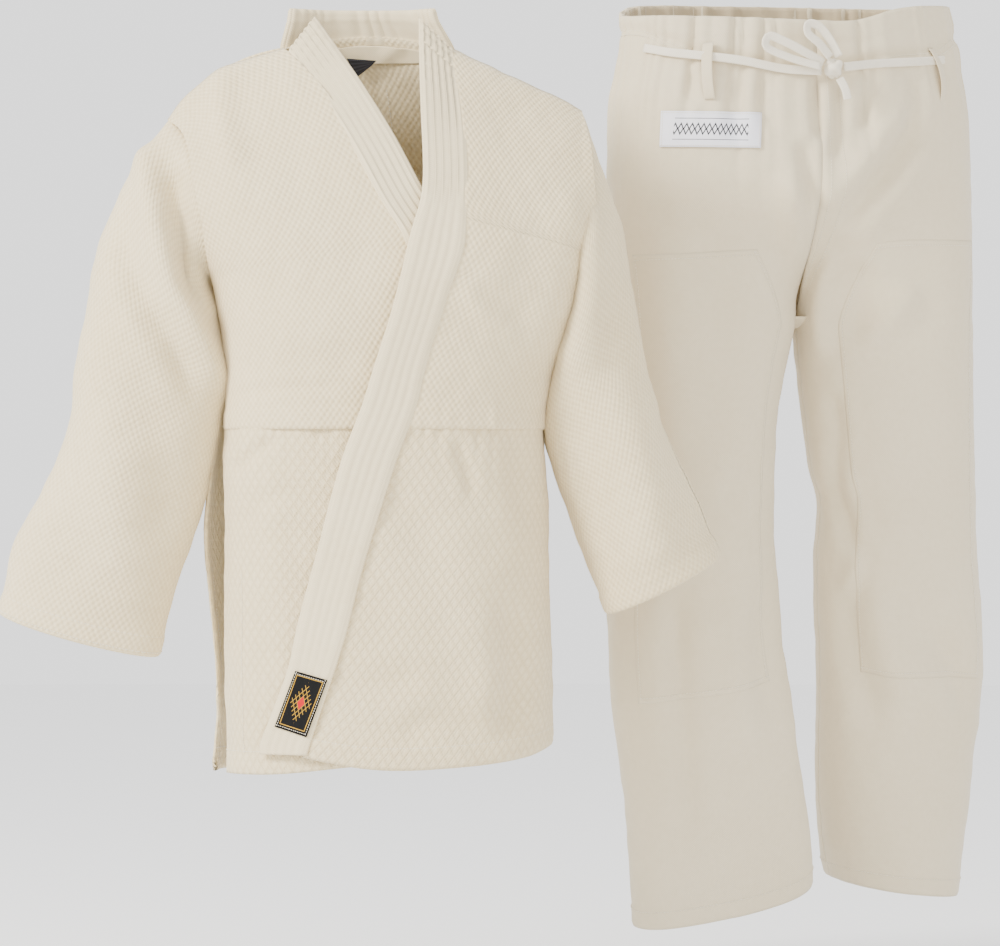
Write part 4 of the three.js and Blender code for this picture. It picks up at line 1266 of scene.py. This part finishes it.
finishes["white_label"] = patterned("white_woven_label", (0.80, 0.79, 0.84, 1), white_pattern)
finishes["black_label"] = patterned("dark_woven_badge", (0.004, 0.004, 0.004, 1), badge_pattern, 0.7)
nape_finish = patterned("dark_nape_label", (0.015, 0.014, 0.015, 1), plain_dark)

# %% [markdown]
# Every piece now gets its finish and, unless it moves with one of the joints listed in bends, the body it
# moves with; a piece that moves with a joint only has its place baked into its points. bends gives, for
# cloth that crosses a joint, the body, the moving part and two points of a line: down the wearer's left
# chest for the front flap, at the shoulders for the sleeves, at the hips for the legs.

# %% what each piece is
bends = {
    "flap": ("jacket", "front_flap", (0.0794, -0.1024, -0.5652), (0.0277, -0.1024, -0.5706)),
    "right_sleeve": ("jacket", "right_sleeve", (-0.175, 0, -0.292), (-0.2355, 0, -0.3838)),
    "left_sleeve": ("jacket", "left_sleeve", (0.175, 0, -0.275), (0.2355, 0, -0.3668)),
    "right_leg": ("trousers", "right_leg", (0.3548, 0.2032, -0.3), (0.3548, 0.2032, -0.42)),
    "left_leg": ("trousers", "left_leg", (0.5727, 0.2919, -0.3), (0.5727, 0.2919, -0.42)),
}
jacket_part = ("jacket", "jacket_cloth")
roles = {
    "chest_right": (*jacket_part, ["right_front_body"]),
    "chest_left": ("flap", "jacket_cloth", ["left_front_body", "left_flap_body"]),
    "back_cloth": (*jacket_part, ["back_body"]),
    "skirt_right": ("jacket", "skirt_cloth", ["right_front_skirt"]),
    "skirt_left": ("flap", "skirt_cloth", ["left_front_skirt", "left_flap_skirt"]),
    "skirt_back": ("jacket", "skirt_cloth", ["back_skirt"]),
    "band_right": ("jacket", "band_cloth", ["collar_right"]),
    "band_left": ("flap", "band_cloth", ["collar_left_upper", "collar_left_lower"]),
    "band_nape": ("jacket", "band_cloth", ["collar_back"]),
    "yoke": ("jacket", "band_cloth", ["back_yoke"]),
    "sleeve_right": ("right_sleeve", "jacket_cloth", ["right_sleeve"]),
    "sleeve_left": ("left_sleeve", "jacket_cloth", ["left_sleeve"]),
    "trousers_right": ("right_leg", "trousers_cloth", ["right_hip", "right_leg"]),
    "trousers_left": ("left_leg", "trousers_cloth", ["left_hip", "left_leg"]),
    "patch_right": ("right_leg", "trousers_cloth", ["right_knee_patch"]),
    "patch_left": ("left_leg", "trousers_cloth", ["left_knee_patch"]),
    "casing": ("trousers", "trousers_cloth", ["waist_casing"]),
    "gusset_cloth": ("trousers", "trousers_cloth", ["crotch_gusset"]),
    "waist_label": ("trousers", "white_label", ["woven_label"]),
    "badge": ("flap", "black_label", ["lapel_badge"]),
    "nape_label": ("jacket", "black_label", ["neck_label"]),
    "loop_right": ("trousers", "trousers_cloth", ["right_belt_loop"]),
    "loop_left": ("trousers", "trousers_cloth", ["left_belt_loop"]),
    "knot_wraps": ("trousers", "tape", ["drawcord_knot"]),
}
for name in cord_routes:
    roles[name + "_tape"] = ("trousers", "tape", [name])
sewn_on = {"back_thread": "back_cloth", "nape_thread": "band_nape", "vent_tack": "skirt_back"}
for name in [piece for piece in pieces if piece.endswith("_thread") or piece == "vent_tack"]:
    base = sewn_on.get(name, name.replace("_thread", ""))
    roles[name] = (*roles[base][:2], [])
# The casing's darker tan finish is painted shade, not a different cloth.
special = {"nape_label": nape_finish, "casing": painted_shade_casing}
for name, piece in pieces.items():
    moves, slot, nodes = roles[name]
    finish = thread if name.endswith("_thread") or name == "vent_tack" else finishes[slot]
    piece.data.materials.append(special.get(name, finish))
    if moves in bends:
        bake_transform(piece)
    else:
        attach(piece, moves)
    if nodes:
        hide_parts(*nodes)

# %% [markdown]
# The size that each cloth piece was cut to and its area are worked out here, and the drawcord's stretches
# are gone through, all but the tail. Both ends of the cord meet in the knot.

# %% sheets and cords
for name, made in cloths.items():
    width, tall = made["flat"]
    share = min(made["area"], width * tall)

for name, made in cords.items():
    if name == "drawcord_tail":
        continue

# %% [markdown]
# The room: one plain pale floor, wide enough to reach past the clothes from every side, and no wall, so
# the clothes can be walked round. A white world lights them evenly; a key lamp at the left shapes the
# folds and a softer one in front fills.

# %% floor
floor_level = -1.06
floor_reach = 9.0
floor_sides = 96
floor_turns = np.linspace(0, 2 * np.pi, floor_sides, endpoint=False)
floor_points = [(floor_reach * np.cos(turn), floor_reach * np.sin(turn), floor_level)
                for turn in floor_turns]
floor = mesh_piece("floor", floor_points, [tuple(range(floor_sides))])
del pieces["floor"]
paper = bpy.data.materials.new("white_paper")
paper.use_nodes = True
paper.node_tree.nodes["Principled BSDF"].inputs["Base Color"].default_value = (0.93, 0.93, 0.93, 1)
paper.node_tree.nodes["Principled BSDF"].inputs["Roughness"].default_value = 0.9
floor.data.materials.append(paper)

# %% lamps
def lamp(name, place, size, power, tint=(1, 1, 1), aim=(0.13, 0.05, -0.5)):
    light = bpy.data.lights.new(name, "AREA")
    light.size = size
    light.energy = power
    light.color = tint
    lamp_object = bpy.data.objects.new(name, light)
    bpy.context.scene.collection.objects.link(lamp_object)
    lamp_object.location = place
    lamp_object.rotation_euler = (Vector(aim) - Vector(place)).to_track_quat("-Z", "Y").to_euler()


warm_light = (1, 0.985, 0.95)
lamp("key", (-3.4, -2.2, 1.8), 1.2, 360, warm_light)
lamp("fill", (1.6, -4.4, 0.2), 2.6, 57, warm_light)
world_light = 1.8
world = bpy.data.worlds.new("studio")
bpy.context.scene.world = world
world.use_nodes = True
world.node_tree.nodes["Background"].inputs["Color"].default_value = (1, 1, 1, 1)
world.node_tree.nodes["Background"].inputs["Strength"].default_value = world_light

# %% the end
bpy.context.view_layer.update()
